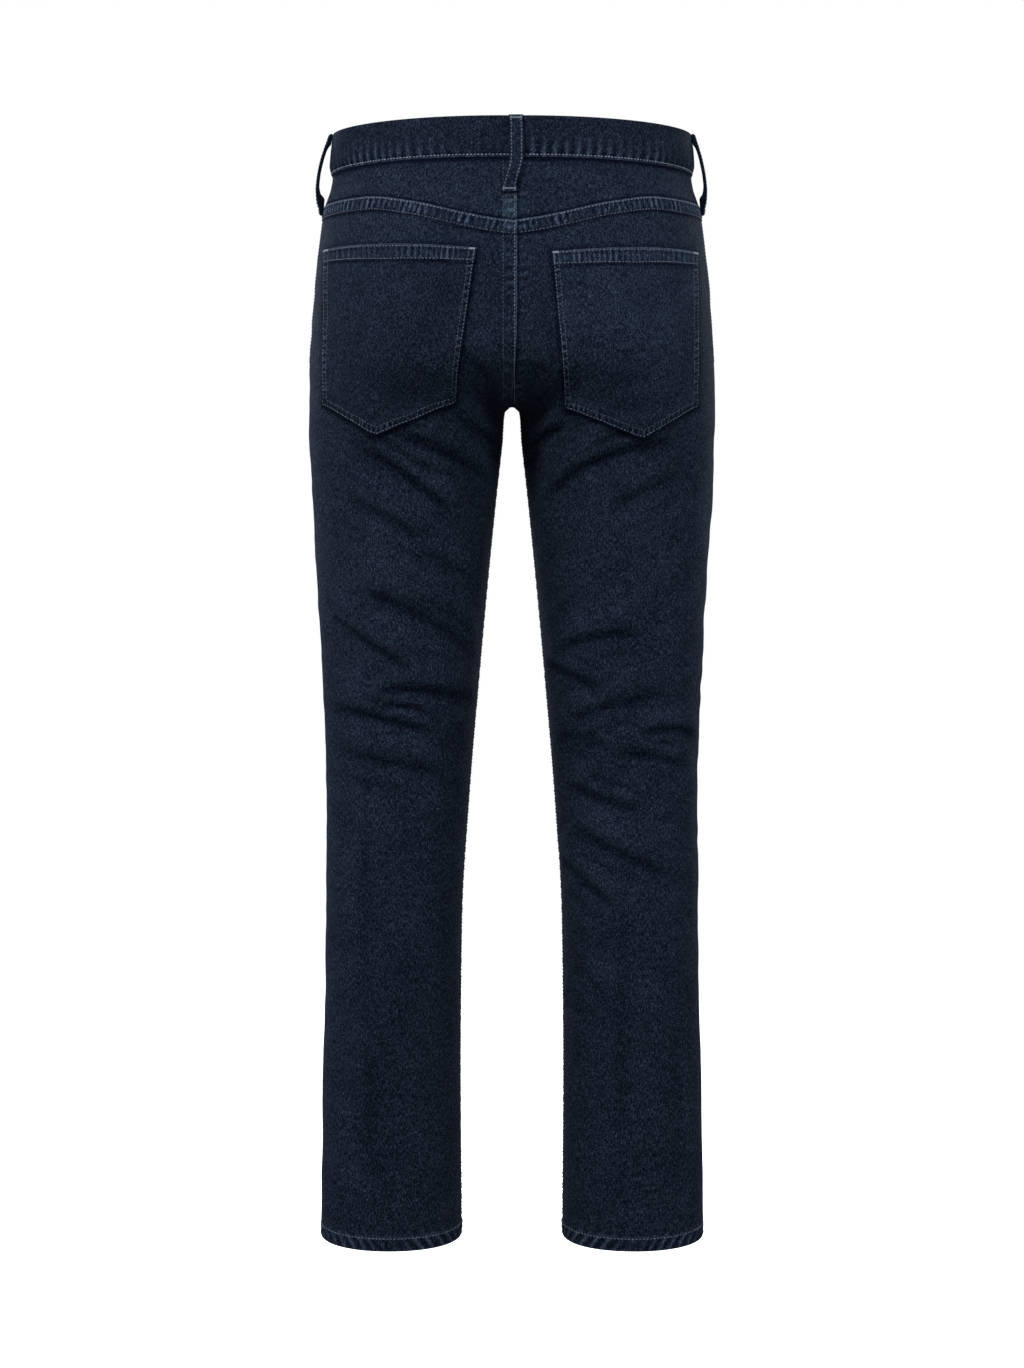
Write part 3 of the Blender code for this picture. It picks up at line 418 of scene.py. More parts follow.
def column(table, names, name, at):
    """Monotone cubic through one column of a table, by its first column."""
    rows = np.array([[row[0], row[names.index(name)]] for row in table], float)
    places, values = rows[:, 0], rows[:, 1]
    step = np.diff(places)
    slope = np.diff(values) / step
    before, after = slope[:-1], slope[1:]
    early = 2.0 * step[1:] + step[:-1]
    late = step[1:] + 2.0 * step[:-1]
    inside = np.zeros(len(before))
    same = before * after > 0.0
    weighted = early[same] / before[same] + late[same] / after[same]
    inside[same] = (early + late)[same] / weighted
    tangent = np.concatenate([slope[:1], inside, slope[-1:]])
    at = np.asarray(at, float)
    cell = np.clip(np.searchsorted(places, at, side="right") - 1, 0, len(step) - 1)
    t = (at - places[cell]) / step[cell]
    start = values[cell] * (1 + 2 * t) * (1 - t) ** 2 + tangent[cell] * step[cell] * t * (1 - t) ** 2
    finish = values[cell + 1] * t**2 * (3 - 2 * t) + tangent[cell + 1] * step[cell] * t**2 * (t - 1)
    return start + finish


def section(name, drop):
    return column(SECTIONS, SECTION_COLUMNS, name, drop)


def eased(value, start, finish):
    """0 before start and 1 after finish, with a soft change between."""
    t = np.clip((np.asarray(value, float) - start) / (finish - start), 0.0, 1.0)
    return t * t * (3 - 2 * t)


def faded(value, start, finish):
    """1 before start and 0 after finish, with a soft change between."""
    return 1 - eased(value, start, finish)


def paired(first, second):
    """Both as arrays of numbers of one shape."""
    return np.broadcast_arrays(np.asarray(first, float), np.asarray(second, float))


def read_line(at, places, line):
    """Points of a line at the given places along it."""
    return np.stack([np.interp(at, places, values) for values in line.T], axis=-1)


def off_segment(points, start, finish):
    """Shares of a segment that lie nearest to the points, and the way from there to each point."""
    step = finish - start
    t = np.clip((points - start) @ step / (step @ step), 0.0, 1.0)
    return t, points - start - t[..., None] * step


def bezier(start, first, second, finish, t):
    t = t[..., None]
    rest = 1 - t
    return start * rest**3 + 3 * first * rest**2 * t + 3 * second * rest * t**2 + finish * t**3


def plain_section(face, around, drop):
    """Points of the right half as x, y and drop: side seam to peak, then peak to the inner end."""
    round_handle, flat_handle = 0.5523, 0.4
    zero = np.zeros_like(drop)
    side = np.stack([section("side_x", drop), section("side_y", drop), drop], axis=-1)
    peak = np.stack([section(face + "_x", drop), section(face + "_y", drop), drop], axis=-1)
    end_y, end_drop = section(face + "_end_y", drop), section(face + "_end_drop", drop)
    end = np.stack([section("inner_x", drop), end_y, drop], axis=-1)
    turn = np.radians(section("turn", drop))
    turned = turn / (math.pi / 2)
    reach = np.abs(end - peak)
    forward = -1.0 if face == "front" else 1.0

    ahead = drop + 0.5
    run = section(face + "_end_y", ahead) - end_y
    fall = section(face + "_end_drop", ahead) - end_drop
    still = np.abs(run) < 0.05
    seam_slope = np.where(still, 0.0, fall / np.where(still, 1.0, run)) * forward
    seam_slope = np.clip(seam_slope, 0.0, 0.4) * faded(drop, CROTCH - 22, CROTCH - 4)

    side_handle = side + np.stack([zero, round_handle * (peak - side)[..., 1], zero], axis=-1)
    peak_out = peak + np.stack([round_handle * (side - peak)[..., 0], zero, zero], axis=-1)
    grip = flat_handle + (round_handle - flat_handle) * turned
    peak_in = peak - np.stack([grip * reach[..., 0], zero, zero], axis=-1)
    grip_end = (1 - turned) * flat_handle * reach[..., 0] + turned * round_handle * reach[..., 1]
    heading = np.stack([-np.cos(turn), forward * np.sin(turn), seam_slope * np.sin(turn)], axis=-1)
    end_handle = end - heading * grip_end[..., None]

    spans = np.abs(peak - side)
    outer_length = math.pi / 2 * np.sqrt((spans[..., 0] ** 2 + spans[..., 1] ** 2) / 2)
    inner_length = np.hypot(reach[..., 0], reach[..., 1]) * (1 + 0.11 * turned)
    split = outer_length / (outer_length + inner_length)
    outer_t = np.clip(around / split, 0.0, 1.0)
    inner_t = np.clip((around - split) / (1 - split), 0.0, 1.0)
    outer = bezier(side, side_handle, peak_out, peak, outer_t)
    inner = bezier(peak, peak_in, end_handle, end, inner_t)
    points = np.where((around < split)[..., None], outer, inner)

    dip = HEM_DIP_BACK if face == "back" else HEM_DIP_FRONT
    points[..., 2] += dip * eased(drop, HEM_DIP_STARTS, HEM_DROP) * 4 * around * (1 - around)
    points[..., 2] += (end_drop - drop) * eased(around, 0.0, 1.0)
    return points


def half_section(face, around, drop):
    """The plain section, averaged with those above and below to round the fork of seat and thigh."""
    window = eased(drop, CROTCH - 55, CROTCH - 22) * faded(drop, CROTCH + 24, CROTCH + 70)
    reach = FORK_SOFTNESS * window * (1 - np.clip(around, 0.0, 1.0) ** 6)
    total = 6 * plain_section(face, around, drop)
    for weight, shift in ((4, -0.5), (4, 0.5), (1, -1.0), (1, 1.0)):
        total = total + weight * plain_section(face, around, drop + shift * reach)
    return total / 16


def surface(side, face, around, drop):
    """Outer face of the cloth. Past either end of its panel it goes on along the next one."""
    around, drop = paired(around, drop)
    past_side = around < 0
    past_inner = around > 1
    crossed = past_inner & (drop <= CROTCH)
    swapped = past_side | (past_inner & (drop > CROTCH))
    within = np.where(past_side, -around, np.where(past_inner, 2 - around, around))
    own = half_section(face, within, drop)
    other = half_section(OTHER_FACE[face], within, drop)
    points = np.where(swapped[..., None], other, own)
    points[..., 0] *= HALF[side] * np.where(crossed, -1.0, 1.0)
    points[..., 2] = BAND_HEIGHT / 2 - points[..., 2]
    return points


def normals(side, face, around, drop):
    """Directions out of the cloth, shared by the panels that meet at a seam."""
    around, drop = paired(around, drop)
    share, down = 0.004, 0.5
    across = surface(side, face, around + share, drop) - surface(side, face, around - share, drop)
    along = surface(side, face, around, drop + down) - surface(side, face, around, drop - down)
    out = np.cross(across, along)
    out *= HALF[side] * (1.0 if face == "back" else -1.0)
    length = np.linalg.norm(out, axis=-1, keepdims=True)
    out /= np.maximum(length, 1e-9)
    at_crotch = (np.abs(around - 1) < 0.02) & (np.abs(drop - CROTCH) < 2.0)
    out[at_crotch] = (0.0, 0.0, -1.0)
    return out


def cloth_at(side, face, around, drop):
    """Outer face of the cloth and the directions out of it."""
    return surface(side, face, around, drop), normals(side, face, around, drop)


def lattice(seed, shape):
    return np.random.default_rng(seed).uniform(-1.0, 1.0, shape)


def noise_line(at, seed):
    """Smooth random line from -1 to 1, with one new value for each unit."""
    values = lattice(seed, 256)
    cell = np.floor(at).astype(int)
    t = at - cell
    t = t * t * (3 - 2 * t)
    return values[cell % 256] * (1 - t) + values[(cell + 1) % 256] * t


def noise_plane(u, v, seed):
    """Smooth random height from -1 to 1, with one new value for each unit both ways."""
    values = lattice(seed, (64, 64))
    i, j = np.floor(u).astype(int), np.floor(v).astype(int)
    s, t = u - i, v - j
    s, t = s * s * (3 - 2 * s), t * t * (3 - 2 * t)
    low = values[i % 64, j % 64] * (1 - s) + values[(i + 1) % 64, j % 64] * s
    high = values[i % 64, (j + 1) % 64] * (1 - s) + values[(i + 1) % 64, (j + 1) % 64] * s
    return low * (1 - t) + high * t


def bell(distance, width):
    return np.exp(-((distance / width) ** 2))


def section_maps():
    """For each face: rows, shares of the way round, x and level there, and how long each row is."""
    rows, shares = np.arange(0.0, HEM_DROP + 4.1, 4.0), np.linspace(0.0, 1.0, 81)
    maps = {}
    for face in ("back", "front"):
        points = surface("right", face, shares[None, :], rows[:, None])
        length = np.linalg.norm(np.diff(points, axis=1), axis=-1).sum(axis=1)
        maps[face] = (rows, shares, points[..., 0], BAND_HEIGHT / 2 - points[..., 2], length)
    return maps


def girth(face, drop):
    """Length of a section from the side seam to its inner end."""
    rows, _, _, _, length = MAPS[face]
    return np.interp(drop, rows, length)


def from_centre(face, around, drop):
    """Distance sideways from the centre seam, minus past it."""
    rows, shares, x, _, _ = MAPS[face]
    around, drop = paired(around, drop)
    past = around > 1
    place = np.where(past, 2 - around, np.maximum(around, 0.0)) * (len(shares) - 1)
    place = np.clip(place, 0, len(shares) - 1.001)
    at = np.clip(drop / (rows[1] - rows[0]), 0, len(rows) - 1.001)
    i, j = at.astype(int), place.astype(int)
    s, t = at - i, place - j
    above, below = (x[k, j] * (1 - t) + x[k, j + 1] * t for k in (i, i + 1))
    value = above * (1 - s) + below * s
    return np.where(past, -value, value)


def around_at(face, across, drop):
    """Share of the way round of places at a distance from the centre seam, one for each drop."""
    shares = np.linspace(0.75, 1.08, 331)
    return np.array([np.interp(-across, -from_centre(face, shares, level), shares) for level in drop])


def locate(face, across, drop):
    """Share of the way round, and row, of the places that lie at this x and this drop."""
    rows, shares, x, level, _ = MAPS[face]
    across, drop = paired(across, drop)
    row = drop.copy()
    for _ in range(LOCATE_ROUNDS):
        at = np.clip(row / (rows[1] - rows[0]), 0, len(rows) - 1.001)
        low, part = at.astype(int), at - at.astype(int)
        line = x[low] * (1 - part)[..., None] + x[low + 1] * part[..., None]
        cell = np.clip((line > across[..., None]).sum(axis=-1) - 1, 0, len(shares) - 2)
        before = np.take_along_axis(line, cell[..., None], -1)[..., 0]
        after = np.take_along_axis(line, cell[..., None] + 1, -1)[..., 0]
        around = (cell + np.clip((before - across) / (before - after), 0, 1)) / (len(shares) - 1)
        height = level[low] * (1 - part)[..., None] + level[low + 1] * part[..., None]
        here = np.take_along_axis(height, cell[..., None], -1)[..., 0]
        row = row + (drop - here)
    return around, row


def fold_lines():
    """Each fold, and a smaller one beside it, as a line in flat cloth: from the side seam, and drop."""
    lines = []
    chance = np.random.default_rng(FOLD_SEED)
    last = FOLD_POINTS - 1
    for (side, face), folds in FOLDS.items():
        for from_x, from_drop, by_x, by_drop, to_x, to_drop, depth, width in folds:
            across = np.array([from_x, by_x, to_x], float)
            drop = np.array([from_drop, by_drop, to_drop], float)
            around, row = locate(face, across, drop)
            points = np.stack([around * girth(face, row), row], axis=-1)
            t = np.linspace(0.0, 1.0, FOLD_POINTS)[:, None]
            line = points[0] * (1 - t) ** 2 + 2 * points[1] * t * (1 - t) + points[2] * t**2
            lines.append((side, face, line, depth, width))
            start, finish = sorted(chance.uniform(0.0, 1.0, 2))
            middle, reach = (start + finish) / 2, 0.22 + 0.13 * chance.uniform()
            part = np.linspace(max(middle - reach, 0.0), min(middle + reach, 1.0), FOLD_POINTS) * last
            shift = chance.choice((-1.0, 1.0)) * width * chance.uniform(1.4, 2.1)
            beside = read_line(part, np.arange(FOLD_POINTS), line) + np.array([0.0, shift])
            lines.append((side, face, beside, 0.5 * depth, 0.62 * width))
    return lines


def fold_height(u, v, line, depth, width):
    """A trough under a ridge along one line, fading at its ends: its height, and the painted shade in its
    crease and painted highlight on its ridge.
    """
    height, crease_shade_and_highlight = np.zeros(u.shape), np.zeros(u.shape)
    reach = 4.5 * width
    low, high = line.min(axis=0) - reach, line.max(axis=0) + reach
    near = (u > low[0]) & (u < high[0]) & (v > low[1]) & (v < high[1])
    if not near.any():
        return height, crease_shade_and_highlight
    chosen = np.stack([u[near], v[near]], axis=-1)
    best = np.full(len(chosen), np.inf)
    above, along = np.zeros(len(chosen)), np.zeros(len(chosen))
    way = np.sign(line[-1, 0] - line[0, 0])
    for i, (start, finish) in enumerate(zip(line[:-1], line[1:])):
        step = finish - start
        t, offset = off_segment(chosen, start, finish)
        distance = np.linalg.norm(offset, axis=-1)
        closer = distance < best
        best = np.where(closer, distance, best)
        above = np.where(closer, -np.sign(step[0] * offset[:, 1] - step[1] * offset[:, 0]) * way, above)
        along = np.where(closer, (i + t) / (len(line) - 1), along)
    fade = eased(along, -0.04, 0.24) * faded(along, 0.76, 1.04)
    apart = best * above / width
    soft = RIDGE_SHARE * bell(apart - 1.35, 1.2) - (1 - CREASE_SHARE) * bell(apart + 0.45, 1.2)
    height[near] = depth * fade * (soft - CREASE_SHARE * bell(apart, 0.32))
    # Painted highlight along the ridge and painted shade in the crease, scaled by the fold's depth
    ridge_highlight = 0.5 * bell(apart - 1.0, 0.6)
    crease_shade_and_highlight[near] = depth / DEEPEST * fade * (ridge_highlight - bell(apart + 0.05, 0.36))
    return height, crease_shade_and_highlight


def relief(side, face, u, v):
    """Height of the folds and soft unevenness of the cloth, and their painted shade and highlight, the same
    across every seam.
    """
    u, v = np.broadcast_arrays(u, v)
    height, tone = np.zeros(u.shape), np.zeros(u.shape)
    own, other = girth(face, v), girth(OTHER_FACE[face], v)
    for fold_side, fold_face, line, depth, width in LINES:
        places = []
        if fold_side == side and fold_face == face:
            places = [u]
        elif fold_side == side:
            places = [-u, np.where(v > CROTCH, other + own - u, 1e6)]
        elif fold_face == face:
            places = [np.where(v <= CROTCH, 2 * own - u, 1e6)]
        for place in places:
            rise, crease_shade_and_highlight = fold_height(place, v, line, depth, width)
            height, tone = height + rise, tone + crease_shade_and_highlight
    calm = eased(v, 95.0, 150.0)
    round_x = u if face == "back" else -u
    seed = SEEDS[side]
    ripple = 0.55 * noise_plane(round_x / 46 + 20, v / 34, seed)
    ripple = ripple + 0.3 * noise_plane(round_x / 21 + 20, v / 17, seed + 2)
    dragged = 0.6 if face == "back" else -0.5
    across, down = round_x + dragged * v, v - dragged * round_x
    pull = calm * faded(v, 640.0, 800.0) * noise_plane(across / 62 + 20, down / 12 + 20, seed + 4)
    fading = faded(u / own, 0.82, 1.0)
    height = height + fading * (ripple * calm + 0.42 * pull)
    # The tone is painted shade in each fold's crease and painted highlight on its ridge, and a little paler
    # where the drag wrinkles rise
    return height, FOLD_SHADE_AND_HIGHLIGHT_TONE * tone + 0.035 * fading * pull


def puckers(seam, along, slant=0.0):
    """Uneven waves along a seam, from -1 to 1, and their height."""
    entry = dict(zip(PUCKER_COLUMNS, next(row for row in PUCKERS if row[0] == seam)))
    pitch, seed = entry["pitch"], entry["seed"]
    phase = along / pitch + 0.42 * noise_line(along / (3.1 * pitch) + 40, seed) + slant
    size = 0.62 + 0.38 * noise_line(along / (2.3 * pitch) + 40, seed + 30)
    return np.cos(2 * math.pi * phase) * size, entry["height"]


def yoke_puckers(u):
    return puckers("yoke", u, 0.15 * noise_line(u / 30.0, SEEDS["yoke seam"]))


def crest_wear_and_shade(wave):
    """Wear and shade of puckered cloth: pale wear on each crest and a little painted shade between them."""
    return 1.25 * np.clip(wave, 0, 1) ** 1.5 - 0.45 * np.clip(-wave, 0, 1)


def band_of(distance, start, finish, soft=1.6):
    """1 between two distances from a seam, with soft ends."""
    return eased(distance, start - soft, start + soft) * faded(distance, finish - soft, finish + soft)


def edge_drop(distance):
    """How far the outer face falls towards a cut or folded edge, to round it."""
    t = np.clip(1 - distance / EDGE_ROUND, 0.0, 1.0)
    return -0.5 * (1 - np.sqrt(1 - t * t * 0.98))


def yoke_seam_drop(around):
    return column(YOKE_SEAM, YOKE_SEAM_COLUMNS, "drop", np.clip(around, 0.0, 1.0))


def mouth_share(around):
    """Distance from the side seam, as a share of the width of the front pocket mouth."""
    return around * girth("front", BAND_HEIGHT) / MOUTH_ACROSS


def mouth_drop(around):
    """Top edge of a front panel: the waist seam, with the curved pocket mouth near the side seam."""
    share = np.clip(mouth_share(around), 0.0, 1.0)
    return BAND_HEIGHT + MOUTH_DOWN * np.sqrt(1 - share**2)


def front_top(around):
    """Top edge of a front panel, which runs on under the band past the pocket mouth."""
    return mouth_drop(around) - 2.6 * eased(np.clip(mouth_share(around), 0.0, 1.0), 0.96, 1.0)


def lap_share(face, drop):
    """1 where the left half laps fully over the right one, 0 below the end of the lap."""
    return faded(drop, LAP_FADES_FROM[face], LAP_ENDS)


def lap(side, face, drop):
    """How far a panel's edge lies past the centre line: the left one past it, the right one short of it."""
    return LAP_WIDTH[face] * lap_share(face, drop) * -HALF[side]


def centre_fell(side, around, drop, own):
    """Rise, puckers, and wear and painted shade of the felled seat seam, whose left half lies over the right
    one.
    """
    edge = from_centre("back", 1 + abs(lap("left", "back", drop)) / own, drop)
    across = from_centre("back", around, drop)
    fading = faded(drop, 242.0, 258.0)
    wave, size = puckers("seat", drop)
    if side == "left":
        distance = across - edge
        rise = FELL_RISE * faded(distance, 11.4, 13.6) * fading + edge_drop(distance) * fading
        between = band_of(distance, 1.4, 11.0)
        rows = bell(distance - 1.6, 0.8) + bell(distance - 11.6, 0.8)
        pale = eased(drop, 67.0, 72.0) * faded(drop, 96.0, 112.0)
        edge_wear_and_shade = 0.7 * bell(distance - 0.4, 0.8) + 0.36 * pale * band_of(distance, 0.8, 11.6, 0.8)
    else:
        distance = across + edge
        rise, rows = np.zeros_like(across), 0.0
        between = 0.7 * bell(distance - 2.0, 4.0)
        # Painted shadow on the right half beside the edge of the left half that lies over it
        edge_wear_and_shade = -0.45 * bell(distance - 0.5, 1.3)
    rise = rise + fading * (wave * size * between - ROW_GROOVE * rows)
    inner = 0.6 * crest_wear_and_shade(wave) * band_of(distance, 3.0, 9.6)
    return rise, fading * (inner + edge_wear_and_shade), distance


def fly(around, drop):
    """Rise of the doubled cloth at the fly's edge on the left front, its lap, and distance from that edge."""
    own = girth("front", drop)
    lapped = lap_share("front", drop)
    from_edge = own + lapped * LAP_WIDTH["front"] - around * own
    down = np.clip(drop - FLY_TURNS, 0.0, None)
    reach = np.hypot(np.clip(from_edge - 4.0, 0.0, None), 0.95 * down)
    rise = FELL_RISE * faded(reach, 34.0, 36.5) + lapped * edge_drop(from_edge)
    return rise, lapped * faded(from_edge, 12.0, 14.0), from_edge


def panel_skin(side, face, around, drop):
    """Height of a panel's outer face over the surface, that of its folds alone, its wall, and its wear and
    painted shade.
    """
    own = girth(face, drop)
    u = around * own
    from_hem, from_inseam = HEM_DROP - drop, own - u
    folds, wear_and_shade = relief(side, face, u, drop)
    wave, size = puckers("hem", u if face == "back" else -u, from_hem / 15.0)
    at_hem = faded(from_hem, HEM_DEPTH - 0.3, HEM_DEPTH + 0.8)
    inside_hem = band_of(from_hem, 0.8, HEM_DEPTH - 1.5, 1.2)
    near_hem = bell(from_hem - HEM_DEPTH, 5.0) * (1 - at_hem)
    height = folds + HEM_RISE * at_hem + wave * size * (inside_hem + 0.35 * near_hem)
    height = height + edge_drop(from_hem) - 0.3 * bell(from_hem - HEM_DEPTH + 0.6, 0.8)
    wall = CLOTH + (HEM_WALL - CLOTH) * at_hem
    wear_and_shade = wear_and_shade + 0.6 * crest_wear_and_shade(wave) * (inside_hem + 0.4 * near_hem)
    # A little paler round the thigh, and painted light at the fork, lifting the shade where its cloth faces
    # down
    wear_and_shade = wear_and_shade + 0.05 * bell(drop - 380.0, 110.0) + 0.2 * bell(drop - 240.0, 32.0) * bell(from_inseam, 52.0)
    wear_and_shade = wear_and_shade + 0.3 * bell(from_hem - HEM_DEPTH + 0.2, 1.0) + 0.35 * bell(from_hem, 1.0)

    worn_seam = np.clip(noise_line(drop / 34.0, SEEDS["side seam"]), 0, 1) * bell(u - 2.8, 1.5)
    uneven = noise_line(drop / 21.0, SEEDS["inseam"])
    worn_inseam = np.clip(uneven - 0.25, 0, 1) * bell(from_inseam - 2.2, 1.6)
    wear_and_shade = wear_and_shade + 0.45 * worn_seam + 0.7 * worn_inseam * (drop > CROTCH + 20)
    height = height - SIDE_GROOVE * bell(u, SIDE_GROOVE_WIDTH)
    height = height + 0.3 * bell(u - 3.2, 2.2) * (1.0 if face == "back" else 0.4)
    below = eased(drop, CROTCH + 8, CROTCH + 30)
    wave, size = puckers("inseam", drop)
    height = height - 0.6 * bell(from_inseam, 1.0) * below
    if face == "front":
        felled = 0.45 * faded(from_inseam, 9.0, 11.0)
        height = height + below * (felled + wave * size * band_of(from_inseam, 1.5, 8.0))
    if face == "back":
        rise, worn_and_shaded, from_edge = centre_fell(side, around, drop, own)
        height, wear_and_shade = height + rise, wear_and_shade + worn_and_shaded
        from_top = drop - yoke_seam_drop(around)
        wave, size = yoke_puckers(u)
        felled = faded(from_top, 11.4, 13.8)
        between, beyond = band_of(from_top, 1.6, 10.8), bell(from_top - 14.0, 3.0)
        rows = bell(from_top - 1.6, 0.8) + bell(from_top - 11.8, 0.8)
        height = height + np.maximum(FELL_RISE * felled - rise * felled, 0.0) + edge_drop(from_top)
        height = height + wave * size * (between + 0.25 * beyond) - ROW_GROOVE * rows
        wear_and_shade = wear_and_shade + crest_wear_and_shade(wave) * (1.2 * between + 0.2 * beyond)
        # Pale worn edge of the fell, then painted shade in the groove below its first row and a painted
        # shadow below its lower edge
        wear_and_shade = wear_and_shade + 0.7 * bell(from_top - 0.4, 0.8) - 0.5 * bell(from_top - 3.3, 0.9)
        wear_and_shade = wear_and_shade - 0.5 * bell(from_top - 13.4, 1.2)
        under = faded(from_top, 5.2, 6.4)
        if side == "left":
            seat_lap = faded(drop, 236.0, 256.0) * faded(from_edge, 8.4, 9.8)
            under = np.maximum(under, seat_lap)
        wall = wall * (1 - under) - TUCKED_IN * under
    else:
        from_top = drop - mouth_drop(around)
        mouth = faded(mouth_share(around), 0.97, 1.0)
        between = band_of(from_top, 1.5, 8.0)
        wave, size = puckers("pocket", u + from_top)
        height = height + mouth * edge_drop(from_top) + mouth * wave * size * 0.7 * between
        # Painted shadow along the top edge beyond the pocket mouth, under the waistband
        wear_and_shade = wear_and_shade - 0.5 * (1 - mouth) * bell(from_top - 0.6, 1.7)
        wear_and_shade = wear_and_shade + mouth * (0.45 * bell(from_top - 0.4, 0.9) + 0.8 * crest_wear_and_shade(wave) * between)
    return height, folds, wall, wear_and_shade


def steps(length, step, first=EDGE_STEPS, last=EDGE_STEPS):
    """Distances from 0 to length, close together at both ends."""
    inside = length - first[-1] - last[-1]
    count = max(int(round(inside / step)), 2)
    middle = np.linspace(first[-1], length - last[-1], count + 1)
    return np.concatenate([first[:-1], middle, (length - np.array(last[:-1]))[::-1]])


def grid_faces(index):
    quads = np.stack([index[:-1, :-1], index[:-1, 1:], index[1:, 1:], index[1:, :-1]], axis=-1)
    return quads.reshape(-1, 4)


def tube_faces(rings, sides):
    """Faces round a tube of rings of points."""
    index = np.arange(rings * sides).reshape(rings, sides)
    return grid_faces(np.concatenate([index, index[:, :1]], axis=1))


def add_object(name, data):
    item = bpy.data.objects.new(name, data)
    bpy.context.scene.collection.objects.link(item)
    return item


def add_mesh(name, points, quads, material, cloth=None, wear_and_shade=None):
    """A mesh object of four-sided faces, facing out, with its place on flat cloth, and its wear and painted
    shade, or a stitch's paleness.
    """
    corners = points[quads]
    volume = np.einsum("ij,ij->i", corners[:, 0], np.cross(corners[:, 1], corners[:, 2])).sum()
    volume += np.einsum("ij,ij->i", corners[:, 0], np.cross(corners[:, 2], corners[:, 3])).sum()
    if volume < 0:
        quads = quads[:, ::-1]
    mesh = bpy.data.meshes.new(name)
    mesh.vertices.add(len(points))
    mesh.vertices.foreach_set("co", (points * MM).astype(np.float32).ravel())
    mesh.loops.add(quads.size)
    mesh.loops.foreach_set("vertex_index", quads.astype(np.int32).ravel())
    mesh.polygons.add(len(quads))
    mesh.polygons.foreach_set("loop_start", np.arange(len(quads), dtype=np.int32) * 4)
    mesh.update(calc_edges=True)
    mesh.validate()
    mesh.materials.append(material)
    mesh.shade_smooth()
    mesh.set_sharp_from_angle(angle=math.radians(SHARP_ANGLE))
    if cloth is not None:
        place = mesh.attributes.new("cloth", "FLOAT_VECTOR", "POINT")
        place.data.foreach_set("vector", (cloth * MM).astype(np.float32).ravel())
    # Tone of each point: the cloth's wear together with its painted shade and highlights, or a stitch's
    # paleness
    if wear_and_shade is not None:
        worn_and_shaded = mesh.attributes.new("wear_and_shade", "FLOAT", "POINT")
        worn_and_shaded.data.foreach_set("value", wear_and_shade.astype(np.float32).ravel())
    return add_object(name, mesh)


def shell(name, outer, inner, flat_u, flat_v, wear_and_shade, material, inside_tone_and_shade):
    """A closed thin wall between two grids of points."""
    rows, columns = outer.shape[:2]
    top = np.arange(rows * columns).reshape(rows, columns)
    low = top + rows * columns
    rim = np.concatenate([top[0, :], top[1:, -1], top[-1, -2::-1], top[-2:0:-1, 0]])
    after = np.roll(rim, -1)
    under, after_under = rim + rows * columns, after + rows * columns
    sides = np.stack([after, rim, under, after_under], axis=-1)
    quads = np.concatenate([grid_faces(top), grid_faces(low)[:, ::-1], sides])
    points = np.concatenate([outer.reshape(-1, 3), inner.reshape(-1, 3)])
    cut_from = 53.0 * (sum(name.encode()) % 89)
    place = np.stack([flat_u + cut_from, flat_v, np.zeros_like(flat_u)], axis=-1).reshape(-1, 3)
    inside = place + np.array([400.0, 0.0, 0.0])
    # The inner face takes one tone: paler on panels, yokes, facings and band as the back of the cloth, darker
    # on pockets and loops as painted shade on their inner faces and rims
    worn_and_shaded = np.concatenate([wear_and_shade.ravel(), np.full(wear_and_shade.size, inside_tone_and_shade)])
    return add_mesh(name, points, quads, material, np.concatenate([place, inside]), worn_and_shaded)


def cloth_area(points):
    """Area of a grid of points in square metres."""
    across, down = np.diff(points, axis=1)[:-1], np.diff(points, axis=0)[:, :-1]
    return float(np.linalg.norm(np.cross(across, down), axis=-1).sum()) * MM * MM


def dress(item, node, cut, points):
    """Sets a cloth piece on the part in place of its solid, and works out its area, at most that of the given
    cut.
    """
    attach(item, "root")
    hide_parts(node)
    area = min(cloth_area(points), cut[0] * cut[1])


def cloth_piece(node, cut, material, layers, flat, wear_and_shade, inside_tone_and_shade=0.2):
    """A shell in place of a solid, from points, directions out, and heights of its outer and inner face."""
    base, out, high, low = layers
    outer, inner = (base + out * height[..., None] for height in (high, low))
    item = shell(node + "_cloth", outer, inner, *flat, wear_and_shade, material, inside_tone_and_shade)
    dress(item, node, cut, outer)
    return outer


def pocket_shade(side, points):
    """Shade on a back panel close to the edge of its patch pocket, from 0 to 1."""
    place = np.stack([np.abs(points[..., 0]), BAND_HEIGHT / 2 - points[..., 2]], axis=-1)
    corners = np.array(list(POCKETS[side].values()))
    nearest = np.full(place.shape[:-1], np.inf)
    for start, finish in zip(corners, np.roll(corners, -1, axis=0)):
        _, offset = off_segment(place, start, finish)
        nearest = np.minimum(nearest, np.linalg.norm(offset, axis=-1))
    return bell(nearest, POCKET_SHADE_WIDTH)


